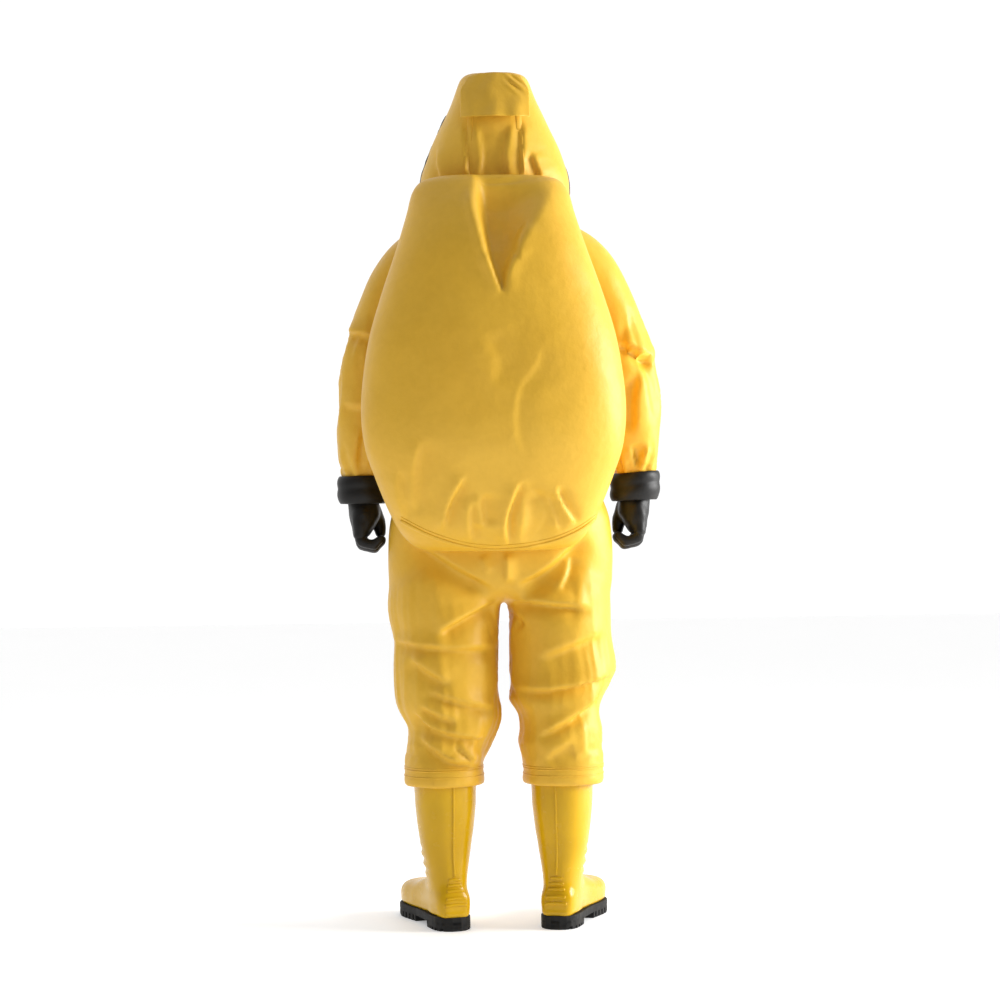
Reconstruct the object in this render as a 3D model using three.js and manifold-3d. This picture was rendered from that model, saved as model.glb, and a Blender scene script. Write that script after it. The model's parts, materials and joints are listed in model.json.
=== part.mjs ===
// A gas-tight chemical protective suit in the shape it has when worn: hood with a wraparound visor, large
// back housing for breathing apparatus, sleeves with ring-clamped rubber gloves, and trousers over boots.
// Millimetres, +Z up, the wearer faces -Y and the wearer's left is +X. The origin is on the floor, under the
// middle of the suit's bounding box. Fabric is drawn as a wall of WALL thickness.
import * as THREE from "three";
import { mergeVertices } from "three/addons/utils/BufferGeometryUtils.js";
import Module from "manifold-3d";

const wasm = await Module();
wasm.setup();

// ---- Driving dimensions ---------------------------------------------------------------------------------
const BODY_Y = -65.45; // the trunk's middle plane: toes and back housing reach equally far from the origin
const WALL = 5; // fabric
const GAP = 0.4; // between pieces that meet
const SIDES = 16; // round a trunk, sleeve or leg; a flat side faces front, back, left and right

const WAIST_Z = 950;
const CROTCH_Z = 758; // the trunk ends here and the legs begin
const NECK_Z = 1528; // the trunk ends here and the neck fabric begins
const HOOD_Z = 1572; // the hood's lower edge
const CROWN_Z = 1884;
const FRONT_DEPTH = 148; // from the middle plane to the zip

const ARMPIT_Z = 1372; // sleeve head above, rigid upper sleeve below
const ELBOW_TOP = 1262; // slanted cuts of the elbow fabric, at the sleeve's middle
const ELBOW_LOW = 1150;
const WRIST = [305, -30, 970];
const CUFF_R = 50; // outer radius of the glove's gauntlet
const SLEEVE_END_R = CUFF_R - 6.4; // the sleeve's end inside the gauntlet

const THIGH_TOP = 684;
const KNEE_TOP = 564; // slanted cuts of the knee fabric, at the leg's middle
const KNEE_LOW = 436;
const HEM_TOP = 346;
const HEM_LOW = 314;

const BOOT = { x: 130, y: 30, toeOut: 18, top: 358 };

const ZIP_TOP = 1500;
const ZIP_LOW = 852;

// ---- Materials ------------------------------------------------------------------------------------------
const material = (color, roughness, metalness = 0) =>
  new THREE.MeshStandardMaterial({ color, roughness, metalness });
const coatedFabric = material(0xe3b23a, 0.55);
const tapeFabric = material(0xd2a433, 0.6);
const blackRubber = material(0x1c1b1a, 0.45);
const bootYellow = material(0xe0b514, 0.25);
const soleBlack = material(0x202020, 0.7);
const clearVisor = material(0xbfd0d4, 0.08);
const blackPlastic = material(0x26282a, 0.4);
const webbing = material(0x2b2f36, 0.8);
const brass = material(0xb0904a, 0.35, 0.9);
const steel = material(0x9a9c9e, 0.35, 0.9);

// ---- Solids ---------------------------------------------------------------------------------------------
function solid(geometry) {
  const bare = geometry.index ? geometry.toNonIndexed() : geometry.clone();
  for (const name of Object.keys(bare.attributes)) {
    if (name !== "position") bare.deleteAttribute(name);
  }
  const merged = mergeVertices(bare, 1e-3);
  return new wasm.Manifold(
    new wasm.Mesh({
      numProp: 3,
      vertProperties: new Float32Array(merged.attributes.position.array),
      triVerts: new Uint32Array(merged.index.array),
    }),
  );
}

function geometryOf(manifold) {
  const mesh = manifold.getMesh();
  const flat = new Float32Array(mesh.numVert * 3);
  for (let i = 0; i < mesh.numVert; i++) {
    flat.set(mesh.vertProperties.subarray(i * mesh.numProp, i * mesh.numProp + 3), i * 3);
  }
  const geometry = new THREE.BufferGeometry();
  geometry.setAttribute("position", new THREE.BufferAttribute(flat, 3));
  geometry.setIndex(new THREE.BufferAttribute(new Uint32Array(mesh.triVerts), 1));
  geometry.computeVertexNormals();
  return geometry;
}

// The point of a station's outline at an angle: 0 is +X, 90 is the back. A station is {at, wide, front, back}
// with half sizes, a squareness (2 is an ellipse) and a lean that lifts the outline's +X side. The outline is
// offset outwards by grow.
function outlinePoint(station, degrees, grow) {
  const { at, wide, front, back, square = 2.2, lean = 0 } = station;
  const angle = THREE.MathUtils.degToRad(degrees);
  const power = 2 / square;
  const c = Math.cos(angle);
  const s = Math.sin(angle);
  const u = (wide + grow) * Math.sign(c) * Math.abs(c) ** power;
  const v = ((s < 0 ? front : back) + grow) * Math.sign(s) * Math.abs(s) ** power;
  const tilt = THREE.MathUtils.degToRad(lean);
  return [at[0] + u * Math.cos(tilt), at[1] + v, at[2] + u * Math.sin(tilt)];
}

// A closed solid through horizontal (or leaning) outlines, listed from the bottom up.
function loft(stations, grow = 0, sides = SIDES) {
  const points = [];
  for (const station of stations) {
    for (let i = 0; i < sides; i++) points.push(outlinePoint(station, (360 * (i + 0.5)) / sides, grow));
  }
  const faces = [];
  for (let k = 0; k + 1 < stations.length; k++) {
    for (let i = 0; i < sides; i++) {
      const a = k * sides + i;
      const b = k * sides + ((i + 1) % sides);
      faces.push(a, b, b + sides, a, b + sides, a + sides);
    }
  }
  const last = (stations.length - 1) * sides;
  points.push(stations[0].at, stations[stations.length - 1].at);
  for (let i = 0; i < sides; i++) {
    const j = (i + 1) % sides;
    faces.push(points.length - 2, j, i, points.length - 1, last + i, last + j);
  }
  const geometry = new THREE.BufferGeometry();
  geometry.setAttribute("position", new THREE.Float32BufferAttribute(points.flat(), 3));
  geometry.setIndex(faces);
  return solid(geometry);
}

// Extra stations past both ends, so that a hollow runs clean through.
function runThrough(stations, by = 20) {
  const first = stations[0];
  const last = stations[stations.length - 1];
  const past = (s, dz) => ({ ...s, at: [s.at[0], s.at[1], s.at[2] + dz] });
  return [past(first, -by), ...stations, past(last, by)];
}

const tube = (stations, wall = WALL) => loft(stations).subtract(loft(runThrough(stations), -wall));

function box(x0, x1, y0, y1, z0, z1) {
  const geometry = new THREE.BoxGeometry(x1 - x0, y1 - y0, z1 - z0);
  geometry.translate((x0 + x1) / 2, (y0 + y1) / 2, (z0 + z1) / 2);
  return solid(geometry);
}

const FAR = 2000;
const above = (z) => box(-FAR, FAR, -FAR, FAR, z, z + FAR);
const below = (z) => box(-FAR, FAR, -FAR, FAR, z - FAR, z);

// The half space under a plane through (0, y, z) that rises towards the back by the given angle.
function belowSlope(y, z, degrees) {
  const geometry = new THREE.BoxGeometry(FAR, FAR, FAR);
  geometry.translate(0, 0, -FAR / 2);
  geometry.rotateX(THREE.MathUtils.degToRad(degrees));
  geometry.translate(0, y, z);
  return solid(geometry);
}
const aboveSlope = (y, z, degrees) => belowSlope(y, z, degrees + 180);

// A round tube or bar along a path.
function bar(points, radius, sides = 10, steps = 8) {
  const outline = new THREE.Shape();
  outline.absarc(0, 0, radius, 0, 2 * Math.PI);
  const path = new THREE.CatmullRomCurve3(points.map((p) => new THREE.Vector3(...p)));
  const settings = { steps, curveSegments: sides / 2, bevelEnabled: false, extrudePath: path };
  return solid(new THREE.ExtrudeGeometry(outline, settings));
}

// A ring turned about a vertical axis at [x, y], from a closed outline of [radius, height] points.
function turned(profile, [x, y], sides = 20) {
  const closed = [...profile, profile[0]].map(([r, z]) => new THREE.Vector2(r, z));
  const geometry = new THREE.LatheGeometry(closed, sides);
  geometry.rotateX(Math.PI / 2);
  geometry.translate(x, y, 0);
  return solid(geometry);
}

const all = (solids) => solids.reduce((sum, next) => sum.add(next));

// ---- The scene graph ------------------------------------------------------------------------------------
const suit = new THREE.Group();
const wearer = new THREE.Group();
wearer.position.y = BODY_Y;
suit.add(wearer);

function place(name, manifold, look, parent = wearer) {
  const mesh = new THREE.Mesh(geometryOf(manifold), look);
  mesh.name = name;
  parent.add(mesh);
  return mesh;
}

// The same piece on both sides: made for the wearer's left (+X), mirrored for the right.
function placePair(name, manifold, look) {
  place(`left_${name}`, manifold, look);
  place(`right_${name}`, manifold.mirror([1, 0, 0]), look);
}

// ---- Outlines of the trunk, back housing, hood, sleeve and leg ------------------------------------------
const level = (z, wide, front, back, y = 0, square = 2.3) => ({ at: [0, y, z], wide, front, back, square });

const trunkLine = [
  level(CROTCH_Z, 244, FRONT_DEPTH, 136),
  level(850, 232, FRONT_DEPTH, 138),
  level(WAIST_Z, 206, FRONT_DEPTH, 132),
  level(1150, 196, FRONT_DEPTH, 130),
  level(1320, 198, FRONT_DEPTH, 130),
  level(1430, 194, FRONT_DEPTH, 128),
  level(1490, 180, FRONT_DEPTH, 124),
  level(NECK_Z, 166, FRONT_DEPTH, 120),
];

const housingLine = [
  level(832, 120, 90, 60, 110, 2.4),
  level(868, 178, 120, 94, 130, 2.4),
  level(915, 212, 138, 110, 150, 2.5),
  level(990, 248, 148, 122, 176, 2.6),
  level(1065, 275, 150, 134, 190, 2.6),
  level(1160, 279, 150, 142, 190, 2.6),
  level(1300, 263, 150, 142, 190, 2.6),
  level(1400, 238, 146, 136, 184, 2.5),
  level(1480, 212, 136, 126, 176, 2.5),
  level(1560, 186, 118, 108, 158, 2.5),
  level(1612, 168, 96, 84, 150, 2.4),
  level(1644, 128, 52, 46, 152, 2.4),
];

const hoodLine = [
  level(HOOD_Z, 164, 150, 122),
  level(1650, 165, 156, 128),
  level(1700, 152, 156, 128),
  level(1756, 127, 150, 122),
  level(1812, 101, 138, 112),
  level(1850, 84, 122, 102),
  level(CROWN_Z, 68, 88, 78, 0, 2.6),
];

const neckLine = [
  level(NECK_Z + GAP, 166, FRONT_DEPTH, 120),
  level(HOOD_Z - GAP, 164, 150, 122),
];

const arm = (x, y, z, wide, deep, lean = 0, square = 2.1) => ({
  at: [x, y, z],
  wide,
  front: deep,
  back: deep,
  lean,
  square,
});
const armLine = [
  arm(WRIST[0], WRIST[1], 955, SLEEVE_END_R, SLEEVE_END_R, 0, 2),
  arm(WRIST[0], WRIST[1], 998, SLEEVE_END_R, SLEEVE_END_R, 0, 2),
  arm(302, -26, 1040, 54, 60),
  arm(294, -17, 1120, 67, 72),
  arm(279, -10, 1250, 71, 77, 4),
  arm(250, -6, 1330, 73, 80, 14),
  arm(222, -4, 1388, 73, 82, 26),
  arm(188, -2, 1432, 76, 86, 44),
  arm(120, 0, 1484, 82, 88, 68),
];

const leg = (x, y, z, wide, deep, square = 2.3) => ({ at: [x, y, z], wide, front: deep, back: deep, square });
const legLine = [
  leg(131, 26, HEM_LOW + 6, 86, 88),
  leg(131, 26, HEM_TOP, 88, 90),
  leg(125, 18, 410, 93, 98),
  leg(118, 8, 500, 109, 112),
  leg(119, 4, 570, 112, 118),
  leg(125, -4, CROTCH_Z, 119, 134),
];

// ---- Trunk and back housing -----------------------------------------------------------------------------
// A solid joined with its mirror image, so that what is cut by it comes out the same on both sides.
const mirrored = (one) => one.add(one.mirror([1, 0, 0]));

const ZIP_SLOT = 10; // half of the opening between the front panels
const SEAT_Y = 60; // the seat panel lies behind this plane, below SEAT_TOP
const SEAT_TOP = 990;
const trunkShell = tube(trunkLine)
  .subtract(loft(housingLine, GAP))
  .subtract(mirrored(loft(armLine, GAP)).intersect(above(ARMPIT_Z - 40)))
  .subtract(box(-ZIP_SLOT, ZIP_SLOT, -FAR, 0, ZIP_LOW - 14, ZIP_TOP + 6));
const frontPanel = trunkShell
  .intersect(box(GAP, FAR, -FAR, FAR, 0, FAR))
  .subtract(box(-FAR, FAR, SEAT_Y, FAR, 0, SEAT_TOP));
placePair("front_panel", frontPanel, coatedFabric);

const seatPanel = trunkShell.intersect(box(-FAR, FAR, SEAT_Y + GAP, FAR, 0, SEAT_TOP - GAP));
place("seat_panel", seatPanel, coatedFabric);

const YOKE_Z = 1545; // seams of the back housing
const BASE_Z = 930;
const OPEN_TO_TRUNK_Y = 112; // the housing has no wall in front of this plane
const housingHollow = [
  level(832 + WALL, 120, 90, 60, 110, 2.4),
  ...housingLine.slice(1, -1),
  level(1644 - WALL, 128, 52, 46, 152, 2.4),
];
const housingShell = loft(housingLine)
  .subtract(loft(housingHollow, -WALL))
  .subtract(loft(trunkLine, GAP))
  .subtract(loft(runThrough(hoodLine, 40), GAP + 2))
  .subtract(box(-FAR, FAR, -FAR, OPEN_TO_TRUNK_Y, 0, FAR).intersect(loft(runThrough(trunkLine, 200), -8)));
place("housing_top_panel", housingShell.intersect(above(YOKE_Z + GAP)), coatedFabric);
place("housing_back_panel", housingShell.intersect(above(BASE_Z).intersect(below(YOKE_Z))), coatedFabric);
place("housing_base_panel", housingShell.intersect(below(BASE_Z - GAP)), coatedFabric);

// ---- Zip, its slider and its cover flap -----------------------------------------------------------------
const FRONT = outlinePoint(trunkLine[0], -90 + 180 / SIDES, 0)[1]; // the trunk's flat front face
const TAPE_Y = FRONT + WALL + GAP; // the tape lies behind the panels' edges
place("zip_tape", box(-30, 30, TAPE_Y, TAPE_Y + 2, ZIP_LOW - 16, ZIP_TOP + 8), tapeFabric);
place("zip_chain", box(-4, 4, FRONT, TAPE_Y - GAP, ZIP_LOW - 12, ZIP_TOP + 4), brass);

const SLIDER = { low: ZIP_TOP - 30, high: ZIP_TOP - 4, wide: 8, deep: 7 };
const sliderBack = FRONT - GAP;
const sliderFront = sliderBack - SLIDER.deep;
const pinZ = SLIDER.high - 8; // the pull swings sideways on a round pin
const pinAt = (y) => [0, y, pinZ];
const slider = box(-SLIDER.wide, SLIDER.wide, sliderFront, sliderBack, SLIDER.low, SLIDER.high)
  .add(bar([pinAt(sliderFront + 1), pinAt(sliderFront - 4)], 3, 10, 1));
place("zip_slider", slider, brass);

const PULL_LONG = 44;
const pullTop = pinZ + 7;
const pull = box(-9, 9, sliderFront - 3, sliderFront - 1, pullTop - PULL_LONG, pullTop)
  .subtract(bar([pinAt(sliderFront + 5), pinAt(sliderFront - 9)], 3.6, 10, 1))
  .subtract(box(-4, 4, -FAR, 0, pullTop - PULL_LONG + 5, pullTop - PULL_LONG + 16));
place("zip_pull", pull, brass);

const FLAP = { hinge: 46, free: -44, y: FRONT - 14, low: ZIP_LOW - 26, high: ZIP_TOP + 4, bead: 4, thick: 3 };
FLAP.hingeY = FRONT - FLAP.bead - GAP;
const flapBead = new THREE.CylinderGeometry(FLAP.bead, FLAP.bead, FLAP.high - FLAP.low, 10);
flapBead.rotateX(Math.PI / 2);
flapBead.translate(FLAP.hinge, FLAP.hingeY, (FLAP.high + FLAP.low) / 2);
const coverFlap = box(FLAP.free, FLAP.hinge - 1, FLAP.y - FLAP.thick, FLAP.y, FLAP.low, FLAP.high)
  .add(box(FLAP.hinge - 4, FLAP.hinge - 1, FLAP.y - 1, FLAP.hingeY, FLAP.low, FLAP.high))
  .add(solid(flapBead));
place("zip_cover_flap", coverFlap, coatedFabric);

// ---- Waist belt inside the trunk ------------------------------------------------------------------------
const BELT_Z = 1010;
const beltLine = [level(BELT_Z - 20, 172, 118, 104), level(BELT_Z + 20, 172, 118, 104)];
const beltTab = box(160, 210, -14, 14, BELT_Z - 14, BELT_Z + 14)
  .intersect(loft(trunkLine, -WALL - GAP))
  .subtract(loft(runThrough(beltLine), -2));
const belt = tube(beltLine, 3).add(beltTab).add(beltTab.mirror([1, 0, 0]));
place("waist_belt", belt, webbing);
const beltFront = outlinePoint(beltLine[0], -90 + 180 / SIDES, 0)[1];
place("belt_buckle", box(-28, 28, beltFront - 12, beltFront - GAP, BELT_Z - 24, BELT_Z + 24), blackPlastic);

// ---- Hood, visor, exhaust valves and their flap ---------------------------------------------------------
place("neck_fabric", tube(neckLine).subtract(loft(housingLine, GAP)), coatedFabric);

// The visor's outline seen from the side, {back edge, low edge, high edge}, as a bar along X.
function visorRegion(grow) {
  const outline = new THREE.Shape();
  const [back, low, high, round] = [-36 + grow, 1604 - grow, 1806 + grow, 26 + grow];
  outline.moveTo(-300, low);
  outline.lineTo(back - 14 - round, low);
  outline.quadraticCurveTo(back - 10, low, back - 6, low + round);
  outline.lineTo(back - 8, high - round);
  outline.quadraticCurveTo(back - 12, high, back - 8 - round, high);
  outline.lineTo(-300, high);
  const geometry = new THREE.ExtrudeGeometry(outline, { depth: 800, bevelEnabled: false, curveSegments: 4 });
  geometry.translate(0, 0, -400);
  geometry.rotateY(Math.PI / 2);
  geometry.rotateX(Math.PI / 2);
  return solid(geometry);
}
const hoodOuter = loft(hoodLine);
const hoodInner = loft(
  [level(HOOD_Z - 20, 164, 150, 122), ...hoodLine.slice(0, -1), level(CROWN_Z - WALL, 68, 88, 78, 0, 2.6)],
  -WALL,
);
const region = visorRegion(0);

const VALVE = { x: 36, z: 1799, radius: 21, tilt: 16 };
const valveFrame = new THREE.Matrix4();
const valveSeat = outlineYAt(hoodLine, VALVE.z);
function outlineYAt(line, z) {
  const k = line.findIndex((s) => s.at[2] > z);
  const [a, b] = [line[k - 1], line[k]];
  return THREE.MathUtils.mapLinear(z, a.at[2], b.at[2], a.back, b.back);
}
// A round piece of the valve: radii and depths along the valve's axis, which leaves the hood's back.
function valvePiece(profile, sides = 14) {
  const geometry = new THREE.LatheGeometry(
    [...profile, profile[0]].map(([r, d]) => new THREE.Vector2(r, d)),
    sides,
  );
  valveFrame.makeRotationX(THREE.MathUtils.degToRad(VALVE.tilt));
  geometry.applyMatrix4(valveFrame);
  geometry.translate(VALVE.x, valveSeat - 6, VALVE.z);
  return solid(geometry);
}
const valveHole = valvePiece([[0, -20], [VALVE.radius - 5, -20], [VALVE.radius - 5, 30], [0, 30]]);
const valveBase = valvePiece([
  [13, -6], [VALVE.radius - 6, -6], [VALVE.radius - 6, 5.5], [VALVE.radius, 5.5], [VALVE.radius, 8], [13, 8],
]);
const valveDisc = valvePiece([[0, 8.4], [15, 8.4], [15, 9.6], [4, 9.6], [3, 11], [0, 11]]);
const valveCap = valvePiece([
  [16.5, 8.4], [VALVE.radius - 0.5, 8.4], [VALVE.radius - 0.5, 13.5], [18, 15.5],
  [5, 15.5], [5, 14], [16.5, 14],
]);

const hoodShell = hoodOuter
  .subtract(hoodInner)
  .subtract(region)
  .subtract(valveHole)
  .subtract(valveHole.mirror([1, 0, 0]));
place("hood_shell", hoodShell, coatedFabric);
const lensShell = hoodOuter.subtract(loft(runThrough(hoodLine), -3));
place("visor_lens", lensShell.intersect(visorRegion(-GAP)), clearVisor);
const visorFrame = loft(runThrough(hoodLine, 0), 4)
  .subtract(loft(runThrough(hoodLine), GAP))
  .intersect(visorRegion(9))
  .subtract(visorRegion(-9))
  .intersect(above(HOOD_Z + 4));
place("visor_frame", visorFrame, blackRubber);
placePair("exhaust_valve_base", valveBase, blackPlastic);
placePair("exhaust_valve_disc", valveDisc, blackRubber);
placePair("exhaust_valve_cap", valveCap, blackPlastic);

// The flap hangs from the crown's back edge over both valves, held off them by its stiff cloth.
const HOOD_FLAP = { half: 76, thick: 3, hingeY: 90, hingeZ: CROWN_Z - 6, long: 116, tilt: 30 };
const hoodFlap = new THREE.BoxGeometry(2 * HOOD_FLAP.half, HOOD_FLAP.thick, HOOD_FLAP.long);
hoodFlap.translate(0, HOOD_FLAP.thick / 2, -HOOD_FLAP.long / 2);
hoodFlap.rotateX(THREE.MathUtils.degToRad(HOOD_FLAP.tilt));
hoodFlap.translate(0, HOOD_FLAP.hingeY, HOOD_FLAP.hingeZ);
place("hood_valve_flap", solid(hoodFlap), coatedFabric);

// ---- Sleeves --------------------------------------------------------------------------------------------
const sleeve = tube(armLine)
  .subtract(mirrored(loft(trunkLine, GAP)))
  .subtract(mirrored(loft(neckLine, GAP)))
  .subtract(mirrored(loft(housingLine, GAP)));
const elbowUpper = (shift) => aboveSlope(-10, ELBOW_TOP + shift, -22);
const elbowLower = (shift) => belowSlope(-14, ELBOW_LOW + shift, 22);
const UNDERARM_X = 202; // the rigid sleeve stays outside this plane, so it swings past the trunk
const outside = (x) => box(x, FAR, -FAR, FAR, 0, FAR);
const swinging = (shift) => below(ARMPIT_Z + shift).intersect(outside(UNDERARM_X - shift));
placePair("shoulder_fabric", sleeve.subtract(swinging(GAP)).intersect(elbowUpper(GAP)), coatedFabric);
placePair("upper_sleeve", sleeve.intersect(swinging(0)).intersect(elbowUpper(0)), coatedFabric);
placePair("elbow_fabric", sleeve.subtract(elbowUpper(-GAP)).subtract(elbowLower(GAP)), coatedFabric);
placePair("forearm_sleeve", sleeve.intersect(elbowLower(0)), coatedFabric);

// ---- Cuffs and gloves -----------------------------------------------------------------------------------
const wristAt = [WRIST[0], WRIST[1]];
const ringR = SLEEVE_END_R - WALL - 1.2; // the stiff ring that holds the sleeve's end open
const cuffRing = turned([[ringR - 4, 970], [ringR, 970], [ringR, 996], [ringR - 4, 996]], wristAt);
placePair("cuff_ring", cuffRing, blackPlastic);
const gloveCuff = turned(
  [
    [CUFF_R - 5, 938], [CUFF_R - 2, 938], [CUFF_R, 945], [56, 950], [57, 963],
    [54, 970], [57, 977], [56, 992], [52, 1000], [CUFF_R - 5, 1000],
  ],
  wristAt,
);
placePair("glove_cuff", gloveCuff, blackRubber);

const hand = (x, z, wide, deep, square = 2.4, y = WRIST[1]) => ({
  at: [x, y, z], wide, front: deep, back: deep, square,
});
const palmLine = [
  hand(310, 866, 18, 44),
  hand(306, 885, 26, 48),
  hand(300, 922, 35, 45, 2.1),
  hand(304, 946, 38, 40, 2),
];
const thumbPath = [[284, -62, 928], [266, -76, 912], [257, -76, 898], [255, -72, 885]];
const KNUCKLE = { x: 309, z: 858, radius: 10.6 };
const knuckleAt = (y) => [KNUCKLE.x, y, KNUCKLE.z];
const knuckleBar = (radius, y0, y1) => bar([knuckleAt(y0), knuckleAt(y1)], radius, 10, 1);
const palm = loft(palmLine, 0, 12)
  .add(bar(thumbPath, 12, 8, 3))
  .subtract(loft([...palmLine.slice(1), hand(304, 980, 38, 40, 2)], -4, 12))
  .subtract(knuckleBar(KNUCKLE.radius + 1.6, -200, 200));
placePair("glove_palm", palm, blackRubber);

const fingerY = [-36, -12, 12, 35];
const FINGER_R = 11;
const curledFinger = (y, i) => {
  const reach = [0, 2, 1, -4][i];
  const at = (x, z) => [x, WRIST[1] + y, z];
  const curl = [at(306, 848 - reach), at(291, 840 - reach), at(271, 844 - reach), at(262, 859 - reach)];
  return bar([at(309, 856), ...curl], FINGER_R, 6, 4);
};
const knuckles = knuckleBar(KNUCKLE.radius, WRIST[1] + fingerY[0] - 10, WRIST[1] + fingerY[3] + 10);
const fingers = all(fingerY.map(curledFinger)).intersect(below(KNUCKLE.z)).add(knuckles);
placePair("glove_fingers", fingers, blackRubber);

// ---- Trouser legs ---------------------------------------------------------------------------------------
const legShell = tube(legLine);
const kneeUpper = (shift) => aboveSlope(0, KNEE_TOP + shift, 24);
const kneeLower = (shift) => belowSlope(10, KNEE_LOW + shift, -24);
const hipFabric = legShell.intersect(above(THIGH_TOP + GAP)).intersect(below(CROTCH_Z - GAP));
placePair("hip_fabric", hipFabric, coatedFabric);
placePair("thigh_fabric", legShell.intersect(below(THIGH_TOP)).intersect(kneeUpper(0)), coatedFabric);
placePair("knee_fabric", legShell.subtract(kneeUpper(-GAP)).subtract(kneeLower(GAP)), coatedFabric);
placePair("shin_fabric", legShell.intersect(kneeLower(0)).intersect(above(HEM_TOP + GAP)), coatedFabric);
const hemLine = [
  leg(130, 28, HEM_LOW, 86, 88),
  leg(130, 28, HEM_LOW + 8, 91, 93),
  leg(130, 28, HEM_TOP, 91, 93),
];
placePair("trouser_hem", loft(hemLine).subtract(loft(runThrough(hemLine.slice(1), 60), -9)), coatedFabric);

// ---- Boots ----------------------------------------------------------------------------------------------
// Drawn with the heel at the back and the toe towards -Y, then turned out and set down at BOOT.
function bootSolid(manifold) {
  return manifold.rotate([0, 0, BOOT.toeOut]).translate([BOOT.x, BOOT.y, 0]);
}
const shaft = (y, z, wide, front, back, square = 2.2) => ({ at: [0, y, z], wide, front, back, square });
const shaftLine = [
  shaft(8, 34, 40, 60, 60),
  shaft(7, 110, 44, 64, 56),
  shaft(4, 172, 55, 60, 56),
  shaft(2, 250, 64, 66, 70),
  shaft(0, BOOT.top, 70, 73, 75),
];
// The foot's outlines stand upright from heel to toe, so it is lofted lying down and then turned.
const foot = (y, wide, high, low = 18) => ({
  at: [0, (high + low) / 2, -y],
  wide,
  front: (high - low) / 2,
  back: (high - low) / 2,
  square: 2.6,
});
const FOOT_TOE = -234;
const FOOT_HEEL = 70;
const footLine = [
  foot(FOOT_HEEL, 22, 74),
  foot(58, 36, 96),
  foot(20, 41, 112),
  foot(-60, 42, 106),
  foot(-120, 48, 88),
  foot(-180, 50, 80),
  foot(-218, 37, 68),
  foot(FOOT_TOE, 16, 54),
];
// The foot offset inwards by the same distance all round and at its ends.
const footSolid = (inset) =>
  loft(footLine, -inset, 12)
    .rotate([90, 0, 0])
    .intersect(box(-FAR, FAR, FOOT_TOE + inset, FOOT_HEEL - inset, 0, FAR));
const SOLE_TOP = 30;
const BOOT_WALL = 4;
const bootOuter = loft(shaftLine, 0, 12).add(footSolid(0)).intersect(above(SOLE_TOP));
const bootInner = loft(runThrough(shaftLine.slice(1), 10), -BOOT_WALL, 12)
  .add(footSolid(BOOT_WALL))
  .intersect(above(SOLE_TOP + BOOT_WALL));
const capSpace = box(-FAR, FAR, -FAR, -176, SOLE_TOP + BOOT_WALL + 4, FAR);
const toeCap = footSolid(BOOT_WALL + GAP).subtract(footSolid(BOOT_WALL + 2.4)).intersect(capSpace);
placePair("boot_upper", bootSolid(bootOuter.subtract(bootInner)), bootYellow);
placePair("toe_cap", bootSolid(toeCap), steel);

const soleOutline = new THREE.Shape();
soleOutline.moveTo(0, 74);
soleOutline.bezierCurveTo(30, 74, 42, 56, 43, 25);
soleOutline.bezierCurveTo(44, -10, 40, -50, 45, -90);
soleOutline.bezierCurveTo(50, -120, 55, -140, 54, -170);
soleOutline.bezierCurveTo(52, -215, 30, -238, 0, -239);
soleOutline.bezierCurveTo(-30, -238, -50, -215, -52, -170);
soleOutline.bezierCurveTo(-52, -140, -44, -120, -42, -90);
soleOutline.bezierCurveTo(-39, -50, -43, -10, -43, 25);
soleOutline.bezierCurveTo(-42, 56, -30, 74, 0, 74);
const soleBlank = solid(
  new THREE.ExtrudeGeometry(soleOutline, { depth: SOLE_TOP - GAP, bevelEnabled: false, curveSegments: 4 }),
);
// What is cut away under the sole, seen from the side: the arch before the heel block and the toe's rise.
const underSole = new THREE.Shape();
underSole.moveTo(-12, -1);
underSole.lineTo(-18, 13);
underSole.lineTo(-70, 12);
underSole.lineTo(-92, 0.01);
underSole.lineTo(-170, 0.01);
underSole.quadraticCurveTo(-215, 3, -245, 15);
underSole.lineTo(-245, -1);
const underSettings = { depth: 200, bevelEnabled: false, curveSegments: 3 };
const underSoleBar = new THREE.ExtrudeGeometry(underSole, underSettings);
underSoleBar.translate(0, 0, -100);
underSoleBar.rotateY(Math.PI / 2);
underSoleBar.rotateX(Math.PI / 2);
let outsole = soleBlank.subtract(solid(underSoleBar));
const CLEATS = [60, 44, 28, 12, -104, -122, -140, -158, -176, -194, -212];
for (const y of CLEATS) outsole = outsole.subtract(box(-60, 60, y - 3, y + 3, -1, y < 0 ? 8 : 6));
placePair("boot_outsole", bootSolid(outsole), soleBlack);

const bootRing = loft([shaft(0, 322, 74, 78, 79), shaft(0, 336, 74, 78, 79)], 0, 12)
  .subtract(loft(shaftLine, GAP, 12));
placePair("boot_clamp_ring", bootSolid(bootRing), blackPlastic);

export default suit;
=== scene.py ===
import json
import math

import bmesh
import bpy
import numpy as np
from mathutils import Matrix, Vector, noise
from mathutils.bvhtree import BVHTree
from mathutils.kdtree import KDTree


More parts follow.
